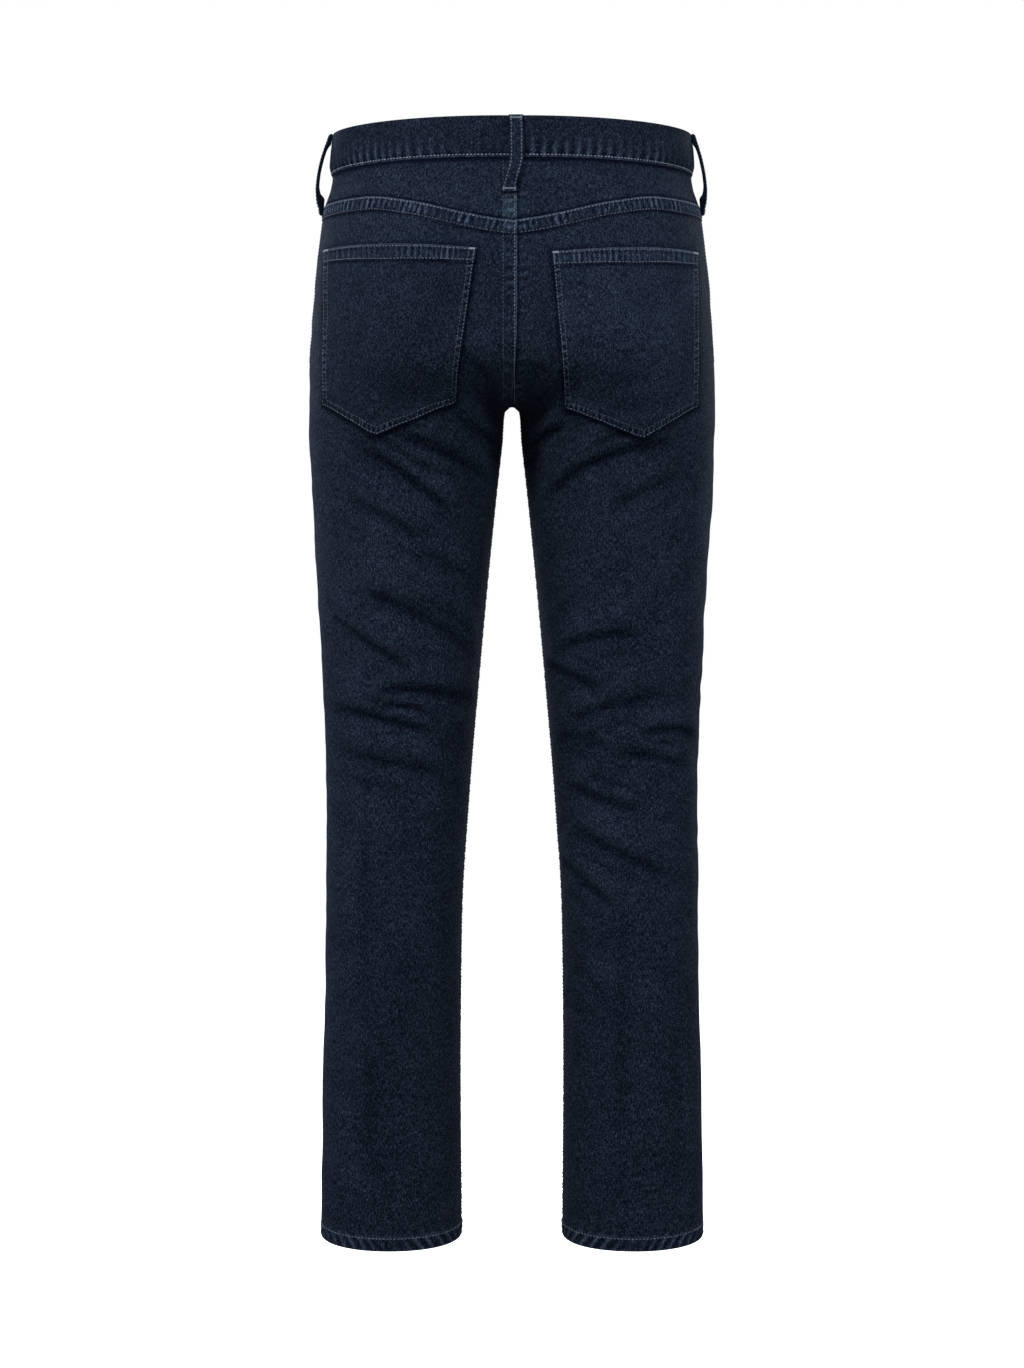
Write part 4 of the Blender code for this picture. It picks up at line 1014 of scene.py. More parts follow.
def panel(side, face, top_drop, material, cut):
    """A front or back panel from its top edge to the hem."""
    length = girth(face, CROTCH)
    step_across, step_down = MESH_STEPS[face]
    shares = steps(length, step_across) / length
    first = float(top_drop(np.array(0.0)))
    upper = first + steps(CROTCH - 8.0 - first, step_down, last=(0.0,))
    fork = CROTCH + np.array(FORK_ROWS)
    thigh = np.linspace(fork[-1], KNEE, THIGH_ROWS)[1:]
    calf = np.linspace(KNEE, HEM_DROP - CALF_ENDS, CALF_ROWS)[1:]
    rows = np.concatenate([upper, fork, thigh, calf, HEM_DROP - np.array(HEM_ROWS)])
    over = lap(side, face, rows)
    if side == "right":
        over = over + UNDER_LAP * lap_share(face, rows)
    around = (1 + over / girth(face, rows))[:, None] * shares[None, :]
    fading = np.clip(1 - (rows - rows[0]) / TOP_EDGE_FADES[face], 0.0, 1.0)
    drop = rows[:, None] + (top_drop(around) - rows[0]) * fading[:, None]
    base, out = cloth_at(side, face, around, drop)
    height, folds, wall, wear_and_shade = panel_skin(side, face, around, drop)
    own, lapped = girth(face, drop), lap_share(face, drop)
    past_edge = around * own - own - lap(side, face, drop)
    if side == "right":
        height = height - 0.3 * lapped * eased(past_edge, -1.5, 0.0)
    if face == "back":
        wear_and_shade = wear_and_shade - POCKET_SHADE * pocket_shade(side, base)
    elif side == "left":
        rise, over_other, from_edge = fly(around, drop)
        height, wall = height + rise, wall * (1 - over_other)
        wear_and_shade = wear_and_shade + lapped * 0.6 * bell(from_edge - 0.4, 0.8)
    else:
        # Painted shade on the right front along the edge that the left fly laps over
        wear_and_shade = wear_and_shade - lapped * 0.8 * bell(past_edge, 1.5)
    layers = base, out, height, folds - wall
    cloth_piece(f"{face}_panel_{side}", cut, material, layers, (around * own, drop), wear_and_shade)


def yoke(side, material):
    """Half of the pointed back yoke. It runs on under the band above it and under the seam below it."""
    length = girth("back", BAND_HEIGHT)
    shares = steps(length, YOKE_STEP) / length
    levels = np.linspace(0.0, 1.0, YOKE_ROWS)
    rows = BAND_HEIGHT + levels * 50.0
    reach = lap(side, "back", rows) + (UNDER_LAP if side == "right" else 0.0)
    around = (1 + reach / girth("back", rows))[:, None] * shares[None, :]
    top, bottom = BAND_HEIGHT - 3.0, yoke_seam_drop(around) + 5.0
    drop = top + (bottom - top) * levels[:, None]
    own = girth("back", drop)
    u = around * own
    base, out = cloth_at(side, "back", around, drop)
    folds, _ = relief(side, "back", u, drop)
    rise, worn_and_shaded, from_edge = centre_fell(side, around, drop, own)
    under_band = faded(drop, BAND_HEIGHT - 1.2, BAND_HEIGHT + 1.0)
    to_seam = yoke_seam_drop(around) - drop
    wave, size = yoke_puckers(u)
    beside = bell(to_seam - 1.0, 3.5) * eased(to_seam, -0.5, 1.5)
    height = folds + rise * (1 - under_band) - 0.5 * under_band + 0.5 * wave * size * beside
    height = height - 0.35 * faded(to_seam, -0.2, 1.2) - rise * faded(to_seam, -0.5, 0.8)
    height = height - SIDE_GROOVE * bell(u, SIDE_GROOVE_WIDTH)
    wall = np.full(u.shape, CLOTH)
    if side == "left":
        wall = wall - (CLOTH + TUCKED_IN) * faded(from_edge, 8.4, 9.8) * (1 - under_band)
    # Painted shadow along the yoke seam where the yoke runs under the fell, and under the waistband
    wear_and_shade = worn_and_shaded + 0.5 * crest_wear_and_shade(wave) * beside - 0.8 * bell(to_seam - 0.3, 1.7)
    wear_and_shade = wear_and_shade - 0.9 * bell(drop - BAND_HEIGHT - 0.6, 2.1)
    layers = base, out, height, folds - wall
    cloth_piece("yoke_" + side, YOKE_CUT, material, layers, (u, drop), wear_and_shade)


def facing(side, material):
    """Cloth seen through the front pocket mouth, one wall further in than the front panel."""
    step_across, step_down = MESH_STEPS["facing"]
    width, depth = MOUTH_ACROSS + FACING_MARGIN, MOUTH_DOWN + FACING_MARGIN
    shares = steps(width, step_across, (0.0, 0.6, 1.4), (0.0, 0.6)) / girth("front", BAND_HEIGHT)
    rows = BAND_HEIGHT - 3.0 + steps(depth, step_down, (0.0, 0.6), (0.0, 0.6))
    around, drop = np.meshgrid(shares, rows)
    u = around * girth("front", drop)
    base, out = cloth_at(side, "front", around, drop)
    folds, _ = relief(side, "front", u, drop)
    layers = base, out, folds - CLOTH - FACING_GAP, folds - 3 * CLOTH
    # The whole facing is a little darker: painted shade in the pocket mouth
    wear_and_shade = np.full(u.shape, FACING_SHADE)
    cloth_piece("front_pocket_facing_" + side, FACING_CUT, material, layers, (u, drop), wear_and_shade)


def pocket_places(side):
    """Coarse grid over a patch pocket: shares across and down, share of the way round, row, and its tip."""
    places = {name: np.array(place) for name, place in POCKETS[side].items()}
    across, down = np.linspace(0.0, 1.0, 19), np.linspace(0.0, 1.0, 17)
    tip, inner, outer = places["tip"], places["inner bottom"], places["outer bottom"]
    to_tip = np.linalg.norm(tip - inner)
    tip_share = to_tip / (to_tip + np.linalg.norm(outer - tip))
    top = places["inner top"] + (places["outer top"] - places["inner top"]) * across[:, None]
    bottom = read_line(across, (0, tip_share, 1), np.array([inner, tip, outer]))
    grid = top[None] * (1 - down)[:, None, None] + bottom[None] * down[:, None, None]
    around, row = locate("back", grid[..., 0], grid[..., 1])
    return across, down, around, row, tip_share


def stretch(table, across, down, fine_across, fine_down):
    """A coarse grid read at finer shares."""
    wide = np.array([np.interp(fine_across, across, line) for line in table])
    return np.array([np.interp(fine_down, down, wide[:, i]) for i in range(wide.shape[1])]).T


def pocket(side, material):
    """A five-sided patch on the back panel, with a turned-down top hem and turned-in edges."""
    across, down, coarse_around, coarse_row, tip_share = pocket_places(side)
    width, depth, hem = POCKET_WIDTH, POCKET_DEPTH, POCKET_HEM_ROWS_END
    step_across, step_down = MESH_STEPS["pocket"]
    left, right = tip_share * width, (1 - tip_share) * width
    to_tip, past_tip = steps(left, step_across, last=(0.0,)), left + steps(right, step_across, first=(0.0,))
    fine_across = np.unique(np.concatenate([to_tip, past_tip])) / width
    hem_rows = steps(hem, POCKET_HEM_STEP, last=(0.0,))
    fine_down = np.concatenate([hem_rows, hem + steps(depth - hem, step_down, first=(0.0,))[1:]]) / depth
    tables = coarse_around, coarse_row
    around, drop = (stretch(table, across, down, fine_across, fine_down) for table in tables)
    u = around * girth("back", drop)
    base, out = cloth_at(side, "back", around, drop)
    under, _, _, under_wear_and_shade = panel_skin(side, "back", around, drop)
    share, level = np.meshgrid(fine_across, fine_down)
    near_tip = 1 - np.abs(share - tip_share) / max(tip_share, 1 - tip_share)
    reach = depth * (POCKET_SIDE_SHARE + (1 - POCKET_SIDE_SHARE) * near_tip)
    from_top, from_bottom = level * reach, (1 - level) * reach * POCKET_SLOPE
    from_side = np.minimum(share, 1 - share) * width
    from_edge = np.minimum(from_side, from_bottom)
    along = np.where(from_side < from_bottom, from_top, share * width)
    wave, size = puckers("pocket", along, 0.2 * noise_line(along / 17.0, SEEDS["pocket edge"]))
    hem_wave, _ = puckers("pocket", share * width + 300.0)
    turned = faded(from_edge, 8.5, 10.0)
    hemmed = faded(from_top, FELL_WIDTH - 0.7, FELL_WIDTH + 0.9)
    slack = 0.9 * np.sin(math.pi * share) * np.exp(-from_top / 22.0)
    height = under + POCKET_GAP + POCKET_CLOTH + slack + np.maximum(0.28 * turned, FELL_RISE * hemmed)
    in_hem = band_of(from_top, 1.2, FELL_WIDTH - 1.2, 1.2)
    at_edge = band_of(from_edge, 1.8, 6.6, 1.4) * (1 - hemmed)
    height = height + size * (hem_wave * in_hem + 0.55 * wave * at_edge)
    rows = bell(from_edge - 1.8, 0.7) + 0.8 * bell(from_edge - 7.0, 0.7)
    height = height - 0.2 * rows - ROW_GROOVE * bell(from_top - FELL_WIDTH + 1.4, 0.8)
    rim = np.minimum(from_edge, from_top)
    height = height + edge_drop(rim)
    wear_and_shade = crest_wear_and_shade(hem_wave) * in_hem + 0.95 * crest_wear_and_shade(wave) * at_edge + 0.5 * under_wear_and_shade + 0.08 * hemmed
    # Pale worn top edge; painted shade below the hem band's edge, along the turned edges and between the rows
    # of stitches
    wear_and_shade = wear_and_shade + 0.5 * bell(from_top - 0.3, 0.8) - 0.4 * bell(from_top - FELL_WIDTH - 0.6, 1.1)
    wear_and_shade = wear_and_shade - 0.8 * bell(from_edge - 0.2, 1.0) * (1 - hemmed)
    wear_and_shade = wear_and_shade - 0.22 * bell(from_edge - 3.4, 0.9) * (1 - hemmed) - 0.25 * bell(from_top - 3.4, 0.9)
    layers = base, out, height, under + POCKET_SEAT + slack
    name = "back_pocket_" + side
    # The inner face and rim get painted shade
    outer = cloth_piece(name, POCKET_CUT, material, layers, (u, drop), wear_and_shade, -0.4)

    def at(share_at, level_at):
        """Outer face of the pocket at shares across and down."""
        share_at, level_at = paired(share_at, level_at)
        values = []
        for table in np.moveaxis(outer, -1, 0):
            rows_at = np.array([np.interp(share_at, fine_across, line) for line in table])
            values.append([np.interp(t, fine_down, rows_at[:, i]) for i, t in enumerate(level_at)])
        return np.array(values).T

    return at


def waistband(material):
    """One strip from its right end, under the left one in front, round the back to its left end on top."""
    middle = BAND_HEIGHT / 2
    front, back = float(girth("front", middle)), float(girth("back", middle))
    legs = (
        ("left", "front", -BAND_UNDERLAP, 0.0, 1.0, 1.0),
        ("right", "front", 0.0, front, 1.0, -1.0),
        ("right", "back", front, front + back, 0.0, 1.0),
        ("left", "back", front + back, front + 2 * back, 1.0, -1.0),
        ("left", "front", front + 2 * back, 2 * (front + back), 0.0, 1.0),
        ("right", "front", 2 * (front + back), 2 * (front + back) + BAND_OVERLAP, 1.0, -1.0),
    )
    left_end = 2 * (front + back)
    step_across, step_down = MESH_STEPS["band"]
    distance = -BAND_UNDERLAP + steps(left_end + BAND_UNDERLAP + BAND_OVERLAP, step_across)
    levels = steps(BAND_HEIGHT, step_down)
    base, out = [], []
    for number, (side, face, start, finish, from_share, way) in enumerate(legs):
        last = number == len(legs) - 1
        here = distance[(distance >= start) & ((distance < finish) | last)]
        opens = start if number else 0.0
        length = front if face == "front" else back
        around, drop = paired((from_share + way * (here - opens) / length)[None, :], levels[:, None])
        base.append(surface(side, face, around, drop))
        out.append(normals(side, face, around, drop))
    base, out = np.concatenate(base, axis=1), np.concatenate(out, axis=1)
    lift_ends = left_end - BAND_UNDERLAP - 2 * SEAM_GAP
    lifted = eased(distance, lift_ends - BAND_LIFT_LENGTH, lift_ends) * (BAND_WALL + SEAM_GAP)
    along, level = np.meshgrid(distance, levels)
    from_low = BAND_HEIGHT - level
    wave, size = puckers("band", along, 0.1 * noise_line(along / 25.0, SEEDS["band edge"]))
    near_stitch = band_of(from_low, 1.2, 24.0, 1.6) * np.exp(-np.clip(from_low - 4, 0, None) / 9.5)
    ends = np.minimum(along + BAND_UNDERLAP, left_end + BAND_OVERLAP - along)
    rim = np.minimum(np.minimum(level, from_low), ends)
    soft = 0.35 * noise_plane(along / 31, level / 19, SEEDS["band"])
    soft = soft + 0.2 * noise_plane(along / 13, level / 11, SEEDS["band"] + 1)
    height = BAND_PROUD + lifted + soft * np.sin(math.pi * level / BAND_HEIGHT) + wave * size * near_stitch
    height = height + 0.35 * bell(from_low - 1.5, 4.0)
    height = height - ROW_GROOVE * bell(from_low - BAND_STITCHES, 0.8) + 1.6 * edge_drop(rim)
    low = BAND_PROUD + lifted - BAND_WALL - 0.6 * edge_drop(rim)
    wear_and_shade = crest_wear_and_shade(wave) * near_stitch + 0.35 * bell(from_low - 0.6, 0.9) + 0.1 * bell(rim - 0.3, 1.0)
    # Pale worn ends, and painted shade in a line just above the row of stitches
    wear_and_shade = wear_and_shade + 0.5 * bell(ends - 0.4, 0.8) - 0.25 * bell(from_low - 4.4, 0.8)
    layers = base, out, height, low
    outer = cloth_piece("waistband", BAND_CUT, material, layers, (along, level), wear_and_shade)
    return distance, levels, outer, out


def belt_loop(entry, material):
    """A folded strip tacked at both ends, standing off the band between them."""
    loop = dict(zip(LOOP_COLUMNS, entry))
    side, face, length = loop["side"], loop["face"], loop["length"]
    step_across, step_down = MESH_STEPS["loop"]
    stations = steps(length, step_down, LOOP_END_STEPS, LOOP_END_STEPS) / length
    drop = stations * length
    around = loop["top_around"] + (loop["end_around"] - loop["top_around"]) * eased(stations, 0.5, 1.0)
    below_band = FELL_RISE if face == "back" else 0.0
    seat = BAND_PROUD + (below_band - BAND_PROUD) * eased(drop, 0.6 * BAND_HEIGHT, 1.2 * BAND_HEIGHT)
    outer_bow, inner_bow = (column(LOOP_BOW, LOOP_BOW_COLUMNS, name, stations) for name in ("outer", "inner"))
    stand = seat + 0.1 + loop["bow"] * inner_bow
    wall = LOOP_WALL + loop["bow"] * (outer_bow - inner_bow)
    base, out = cloth_at(side, face, around, drop)
    across = surface(side, face, around + 0.01, drop) - surface(side, face, around - 0.01, drop)
    across[:, 2] = 0.0
    across /= np.linalg.norm(across, axis=-1, keepdims=True)
    offsets = steps(LOOP_WIDTH, step_across, LOOP_SIDE_STEPS, LOOP_SIDE_STEPS) - LOOP_WIDTH / 2
    from_side = LOOP_WIDTH / 2 - np.abs(offsets)
    from_end = np.minimum(drop, length - drop)
    rim = np.minimum(from_side[None, :], from_end[:, None])
    crown = 0.22 * bell(from_side - 2.0, 1.4) - 0.12 * bell(from_side - 6.3, 2.2)
    bumps = 0.14 * noise_plane(offsets[None, :] / 4, drop[:, None] / 5, SEEDS["loop"])
    over = stand[:, None] + wall[:, None] + crown[None, :] + bumps + 1.7 * edge_drop(rim)
    under = stand[:, None] - 0.8 * edge_drop(rim) + 0.02
    tacked = faded(np.minimum(stations, 1 - stations), 0.05, 0.14)
    level_out = out[0] + out[-1]
    level_out[2] = 0.0
    level_out /= np.linalg.norm(level_out)
    out = out * tacked[:, None] + level_out * (1 - tacked)[:, None]
    inside = np.flatnonzero(tacked < 1)
    first, last = inside[0], inside[-1]
    share = np.clip((drop - drop[first]) / (drop[last] - drop[first]), 0, 1)
    chord = base[first] + (base[last] - base[first]) * share[:, None]
    if loop["top_around"] == loop["end_around"]:
        base = base * tacked[:, None] + chord * (1 - tacked)[:, None]
    line = base[:, None, :] + across[:, None, :] * offsets[None, :, None]
    beside = around[:, None] + offsets[None, :] / girth(face, drop)[:, None]
    hugging = surface(side, face, beside, drop[:, None])
    line = line * (1 - tacked)[:, None, None] + hugging * tacked[:, None, None]
    outer, inner = (line + out[:, None, :] * level[..., None] for level in (over, under))
    # Pale worn edges, and painted shade right at the rim
    wear_and_shade = 0.16 * bell(rim - 0.6, 0.7) + 0.10 * bell(from_side - 2.0, 1.0) - 0.5 * bell(rim, 0.35)
    flat_u, flat_v = np.meshgrid(offsets, drop)
    # The inner face and rim get painted shade
    item = shell(loop["name"] + "_cloth", outer, inner, flat_u, flat_v, wear_and_shade, material, -0.2)
    dress(item, loop["name"], LOOP_CUT, outer)
    return outer, offsets, drop


def waist_button(material):
    """A domed metal cap with a turned rim and a dished middle, on a short neck."""
    base, out = cloth_at("left", "front", 1.0, BUTTON_SEAT)
    seat = base + out * (BAND_PROUD + BAND_WALL + 2 * SEAM_GAP)
    across = np.array([1.0, 0.0, 0.0])
    upright = np.cross(out, across)
    angles = np.linspace(0, 2 * math.pi, BUTTON_SIDES, endpoint=False)[:, None]
    ring = across * np.cos(angles) + upright * np.sin(angles)
    points = np.array([seat + out * height + ring * radius for height, radius in BUTTON_PROFILE])
    quads = tube_faces(len(BUTTON_PROFILE), BUTTON_SIDES)
    item = add_mesh("waist_button_cap", points.reshape(-1, 3), quads, material)
    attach(item, "root")
    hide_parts("waist_button")


def stitch_mesh(name, runs, material):
    """Short rounded threads along each run, in one piece."""
    points, quads, pale = [], [], []
    chance = np.random.default_rng(len(runs))
    angles = np.linspace(0, 2 * math.pi, STITCH_SIDES, endpoint=False)[:, None]
    shares, sizes, lifts = np.array(STITCH_RINGS).T
    count_each = len(STITCH_RINGS) * STITCH_SIDES
    total = 0
    for line, out, length, pitch, radius, tone in runs:
        lengths = np.concatenate([[0.0], np.cumsum(np.linalg.norm(np.diff(line, axis=0), axis=1))])
        count = max(int(lengths[-1] / pitch), 1)
        starts = (lengths[-1] - count * pitch) / 2 + np.arange(count) * pitch + (pitch - length) / 2
        for begin in starts:
            middle = read_line(begin + length * shares, lengths, line)
            up = read_line(begin, lengths, out)
            along = middle[-1] - middle[0]
            along /= max(np.linalg.norm(along), 1e-9)
            side = np.cross(up, along)
            side /= max(np.linalg.norm(side), 1e-9)
            up = np.cross(along, side)
            ring = side * np.cos(angles) + 0.8 * up * np.sin(angles)
            lift, scale = (radius * values[:, None, None] for values in (lifts, sizes))
            points.append((middle[:, None, :] + up * lift + ring[None] * scale).reshape(-1, 3))
            quads.append(STITCH_FACES + total)
            pale.append(np.full(count_each, tone * chance.uniform(0.65, 1.25)))
            total += count_each
    item = add_mesh(name, np.concatenate(points), np.concatenate(quads), material, wear_and_shade=np.concatenate(pale))
    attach(item, "root")


def stitch_faces():
    """Faces of one stitch: its tube and both ends."""
    caps = np.array([[0, 3, 2, 1], [0, 5, 4, 3], [18, 19, 20, 21], [18, 21, 22, 23]])
    return np.concatenate([tube_faces(len(STITCH_RINGS), STITCH_SIDES)[:, ::-1], caps])


def run(line, out, tone=0.5, radius=STITCH_RADIUS, length=STITCH_LENGTH, pitch=STITCH_PITCH):
    """A row of stitches: points, directions out, stitch length, pitch, radius and paleness."""
    return line, out, length, pitch, radius, tone


def free_run(line, tone):
    return run(line, outward(line), tone)


def panel_run(side, face, around, drop, tone=0.5, above=0.0, **sizes):
    """A row of stitches on the outer face of a panel."""
    around, drop = paired(around, drop)
    base, out = cloth_at(side, face, around, drop)
    height, _, _, _ = panel_skin(side, face, around, drop)
    return run(base + out * (height + above)[:, None], out, tone, **sizes)


def hem_run(side, face):
    return panel_run(side, face, np.linspace(0.006, 0.994, 130), HEM_DROP - HEM_STITCHES)


def fly_run(drop, inset, tone=0.5):
    """A row of stitches on the left front panel, at a distance in from the fly's edge."""
    edge = girth("front", drop) + LAP_WIDTH["front"] * lap_share("front", drop)
    around = (edge - inset) / girth("front", drop)
    return panel_run("left", "front", around, drop, tone, fly(around, drop)[0])


def back_stitches(material):
    """Yoke seam, seat seam, side seams and hems of the back."""
    runs = []
    for side in ("left", "right"):
        finish = 1 + float(lap(side, "back", 90.0)) / float(girth("back", 90.0))
        around = np.linspace(0.006, finish - 0.004, 170)
        for depth, tone in YOKE_STITCHES:
            runs.append(panel_run(side, "back", around, yoke_seam_drop(around) + depth, tone))
        runs.append(hem_run(side, "back"))
        inset, tone = SIDE_STITCHES
        drop = np.linspace(70.0, 208.0, 120)
        runs.append(panel_run(side, "back", inset / girth("back", drop), drop, tone))
        drop = np.linspace(203.0, 209.0, 12)
        around = inset / girth("back", drop)
        runs.append(panel_run(side, "back", around, drop, 1.0, radius=0.55, length=0.9, pitch=0.8))
    seam = yoke_seam_drop(1.0)
    for across, tone in SEAT_STITCHES:
        for first, last in ((BAND_HEIGHT + 1.0, seam - 2.0), (seam + 2.0, 254.0)):
            drop = np.linspace(first, last, 110)
            runs.append(panel_run("left", "back", around_at("back", across, drop), drop, tone))
    stitch_mesh("back_topstitching", runs, material)


def front_stitches(material):
    """Pocket mouths, fly, inseams and hems of the front."""
    runs = []
    length = float(girth("front", BAND_HEIGHT))
    angle = np.linspace(0.03, math.pi / 2 - 0.02, 90)
    for side in ("left", "right"):
        for inset in MOUTH_STITCHES:
            around = (MOUTH_ACROSS / length + inset / length) * np.sin(angle)
            runs.append(panel_run(side, "front", around, BAND_HEIGHT + (MOUTH_DOWN + inset) * np.cos(angle)))
        runs.append(hem_run(side, "front"))
        drop = np.linspace(CROTCH + 12, HEM_DROP - 16, 320)
        for inset, tone in INSEAM_STITCHES:
            runs.append(panel_run(side, "front", 1 - inset / girth("front", drop), drop, tone))
    runs.append(fly_run(np.linspace(BAND_HEIGHT + 8.0, 246.0, 110), FLY_EDGE_STITCHES))
    share = np.linspace(0.0, 1.0, 90)
    down = np.minimum(share / 0.72, 1.0)
    turn = np.clip((share - 0.72) / 0.28, 0.0, 1.0) * math.pi / 2
    for inset, tone in FLY_STITCHES:
        drop = BAND_HEIGHT + 3.0 + (FLY_TURNS - BAND_HEIGHT - 3.0) * down + inset * np.sin(turn)
        runs.append(fly_run(drop, 4.0 + (inset - 2.0) * np.cos(turn), tone))
    stitch_mesh("front_topstitching", runs, material)


def nearest(values, value):
    return int(np.argmin(np.abs(values - value)))


def bartack(line, tone):
    """Close zigzag stitches along a short line."""
    up = outward(line)
    along = line[-1] - line[0]
    along /= np.linalg.norm(along)
    side = np.cross(up, along)
    places = np.linspace(0, len(line) - 1, TACK_ENDS)
    middle, turned, up = (read_line(places, np.arange(len(line)), values) for values in (line, side, up))
    swing = np.where(np.arange(TACK_ENDS) % 2, TACK_REACH, -TACK_REACH)[:, None]
    ends = middle + turned * swing + up * 0.15
    for first, second, upward in zip(ends[:-1], ends[1:], up):
        reach = float(np.linalg.norm(second - first))
        yield run(np.array([first, second]), np.array([upward, upward]), tone, 0.3, reach * 0.98, reach)


def other_stitches(material, pockets, band, loops):
    """Pockets, waistband and belt loops, with the bartacks."""
    runs, tacks = [], []
    square_depth = POCKET_DEPTH * POCKET_SLOPE
    for at in pockets:
        for inset, tone in POCKET_STITCHES:
            near, far = inset / POCKET_WIDTH, 1 - inset / POCKET_WIDTH
            level = np.linspace(2.0 / POCKET_DEPTH, 1 - inset / (POCKET_DEPTH * POCKET_SIDE_SHARE), 100)
            runs.append(free_run(at(near, level), tone))
            runs.append(free_run(at(far, level), tone))
            runs.append(free_run(at(np.linspace(near, far, 120), 1 - inset / square_depth), tone))
        for inset, tone in POCKET_HEM_STITCHES:
            runs.append(free_run(at(np.linspace(0.01, 0.99, 120), inset / square_depth), tone))
        for first, last in POCKET_TACKS:
            tacks.append((at(np.linspace(first, last, 16), 1.5 / POCKET_DEPTH), 0.9))
    distance, levels, outer, out = band
    row, end = nearest(levels, BAND_HEIGHT - BAND_STITCHES), nearest(distance, distance[-1] - BAND_STITCHES)
    runs.append(run(outer[row], out[row], 0.8, 0.42))
    runs.append(run(outer[4:-4, end], out[4:-4, end], 0.7))
    for number, (outer, offsets, drop) in enumerate(loops):
        row_tone, tack_tone = CENTRE_LOOP_TONES if number == 0 else LOOP_TONES
        for way in (-1, 1):
            place = nearest(offsets, way * (LOOP_WIDTH / 2 - LOOP_STITCHES))
            runs.append(free_run(outer[:, place], row_tone))
        for place in (LOOP_TACKS, drop[-1] - LOOP_TACKS):
            tacks.append((outer[nearest(drop, place), 3:-3], tack_tone))
    for line, tone in tacks:
        runs.extend(bartack(line, tone))
    stitch_mesh("pocket_band_loop_stitching", runs, material)


def outward(line):
    """Directions out of the jeans, level and away from the middle line of the nearest hollow."""
    out = line.copy()
    out[:, 2] = 0.0
    out[:, 1] = np.where(out[:, 1] < 0, np.minimum(out[:, 1], -40.0), np.maximum(out[:, 1], 40.0))
    return out / np.linalg.norm(out, axis=-1, keepdims=True)


class Nodes:
    """Short way to build a shader: each call adds a node and joins its inputs."""

    def __init__(self, name):
        self.material = bpy.data.materials.new(name)
        self.material.use_nodes = True
        self.tree = self.material.node_tree
        self.shader = self.tree.nodes["Principled BSDF"]

    def add(self, kind, inputs=(), **settings):
        node = self.tree.nodes.new(kind)
        for key, value in settings.items():
            setattr(node, key, value)
        for key, value in dict(inputs).items():
            self.join(value, node.inputs[key])
        return node

    def join(self, value, socket):
        if isinstance(value, bpy.types.NodeSocket):
            self.tree.links.new(value, socket)
        else:
            socket.default_value = value

    def shade(self, inputs):
        for key, value in inputs.items():
            self.join(value, self.shader.inputs[key])

    def math(self, operation, first, second=0.0, clamp=False):
        node = self.add("ShaderNodeMath", {0: first, 1: second}, operation=operation, use_clamp=clamp)
        return node.outputs[0]

    def plus(self, first, second, clamp=False):
        return self.math("ADD", first, second, clamp)

    def times(self, first, second, clamp=False):
        return self.math("MULTIPLY", first, second, clamp)

    def bump(self, height, strength):
        inputs = {"Height": height, "Strength": strength, "Distance": BUMP_DEPTH}
        return self.add("ShaderNodeBump", inputs).outputs["Normal"]

    def mix(self, factor, first, second, blend="MIX"):
        node = self.add("ShaderNodeMix", data_type="RGBA", blend_type=blend)
        sockets = {socket.identifier: socket for socket in node.inputs}
        self.join(factor, sockets["Factor_Float"])
        self.join(first, sockets["A_Color"])
        self.join(second, sockets["B_Color"])
        return next(socket for socket in node.outputs if socket.identifier == "Result_Color")

    def noise(self, vector, scale, detail=2.0, rough=0.5):
        inputs = {"Vector": vector, "Scale": scale, "Detail": detail, "Roughness": rough}
        return self.add("ShaderNodeTexNoise", inputs).outputs["Fac"]

    def ramp(self, value, low, high):
        inputs = {"Value": value, "From Min": low, "From Max": high, "To Min": 0.0, "To Max": 1.0}
        return self.add("ShaderNodeMapRange", inputs).outputs["Result"]


def rgba(colour, tone=1.0):
    return (*(tone * part for part in colour), 1.0)


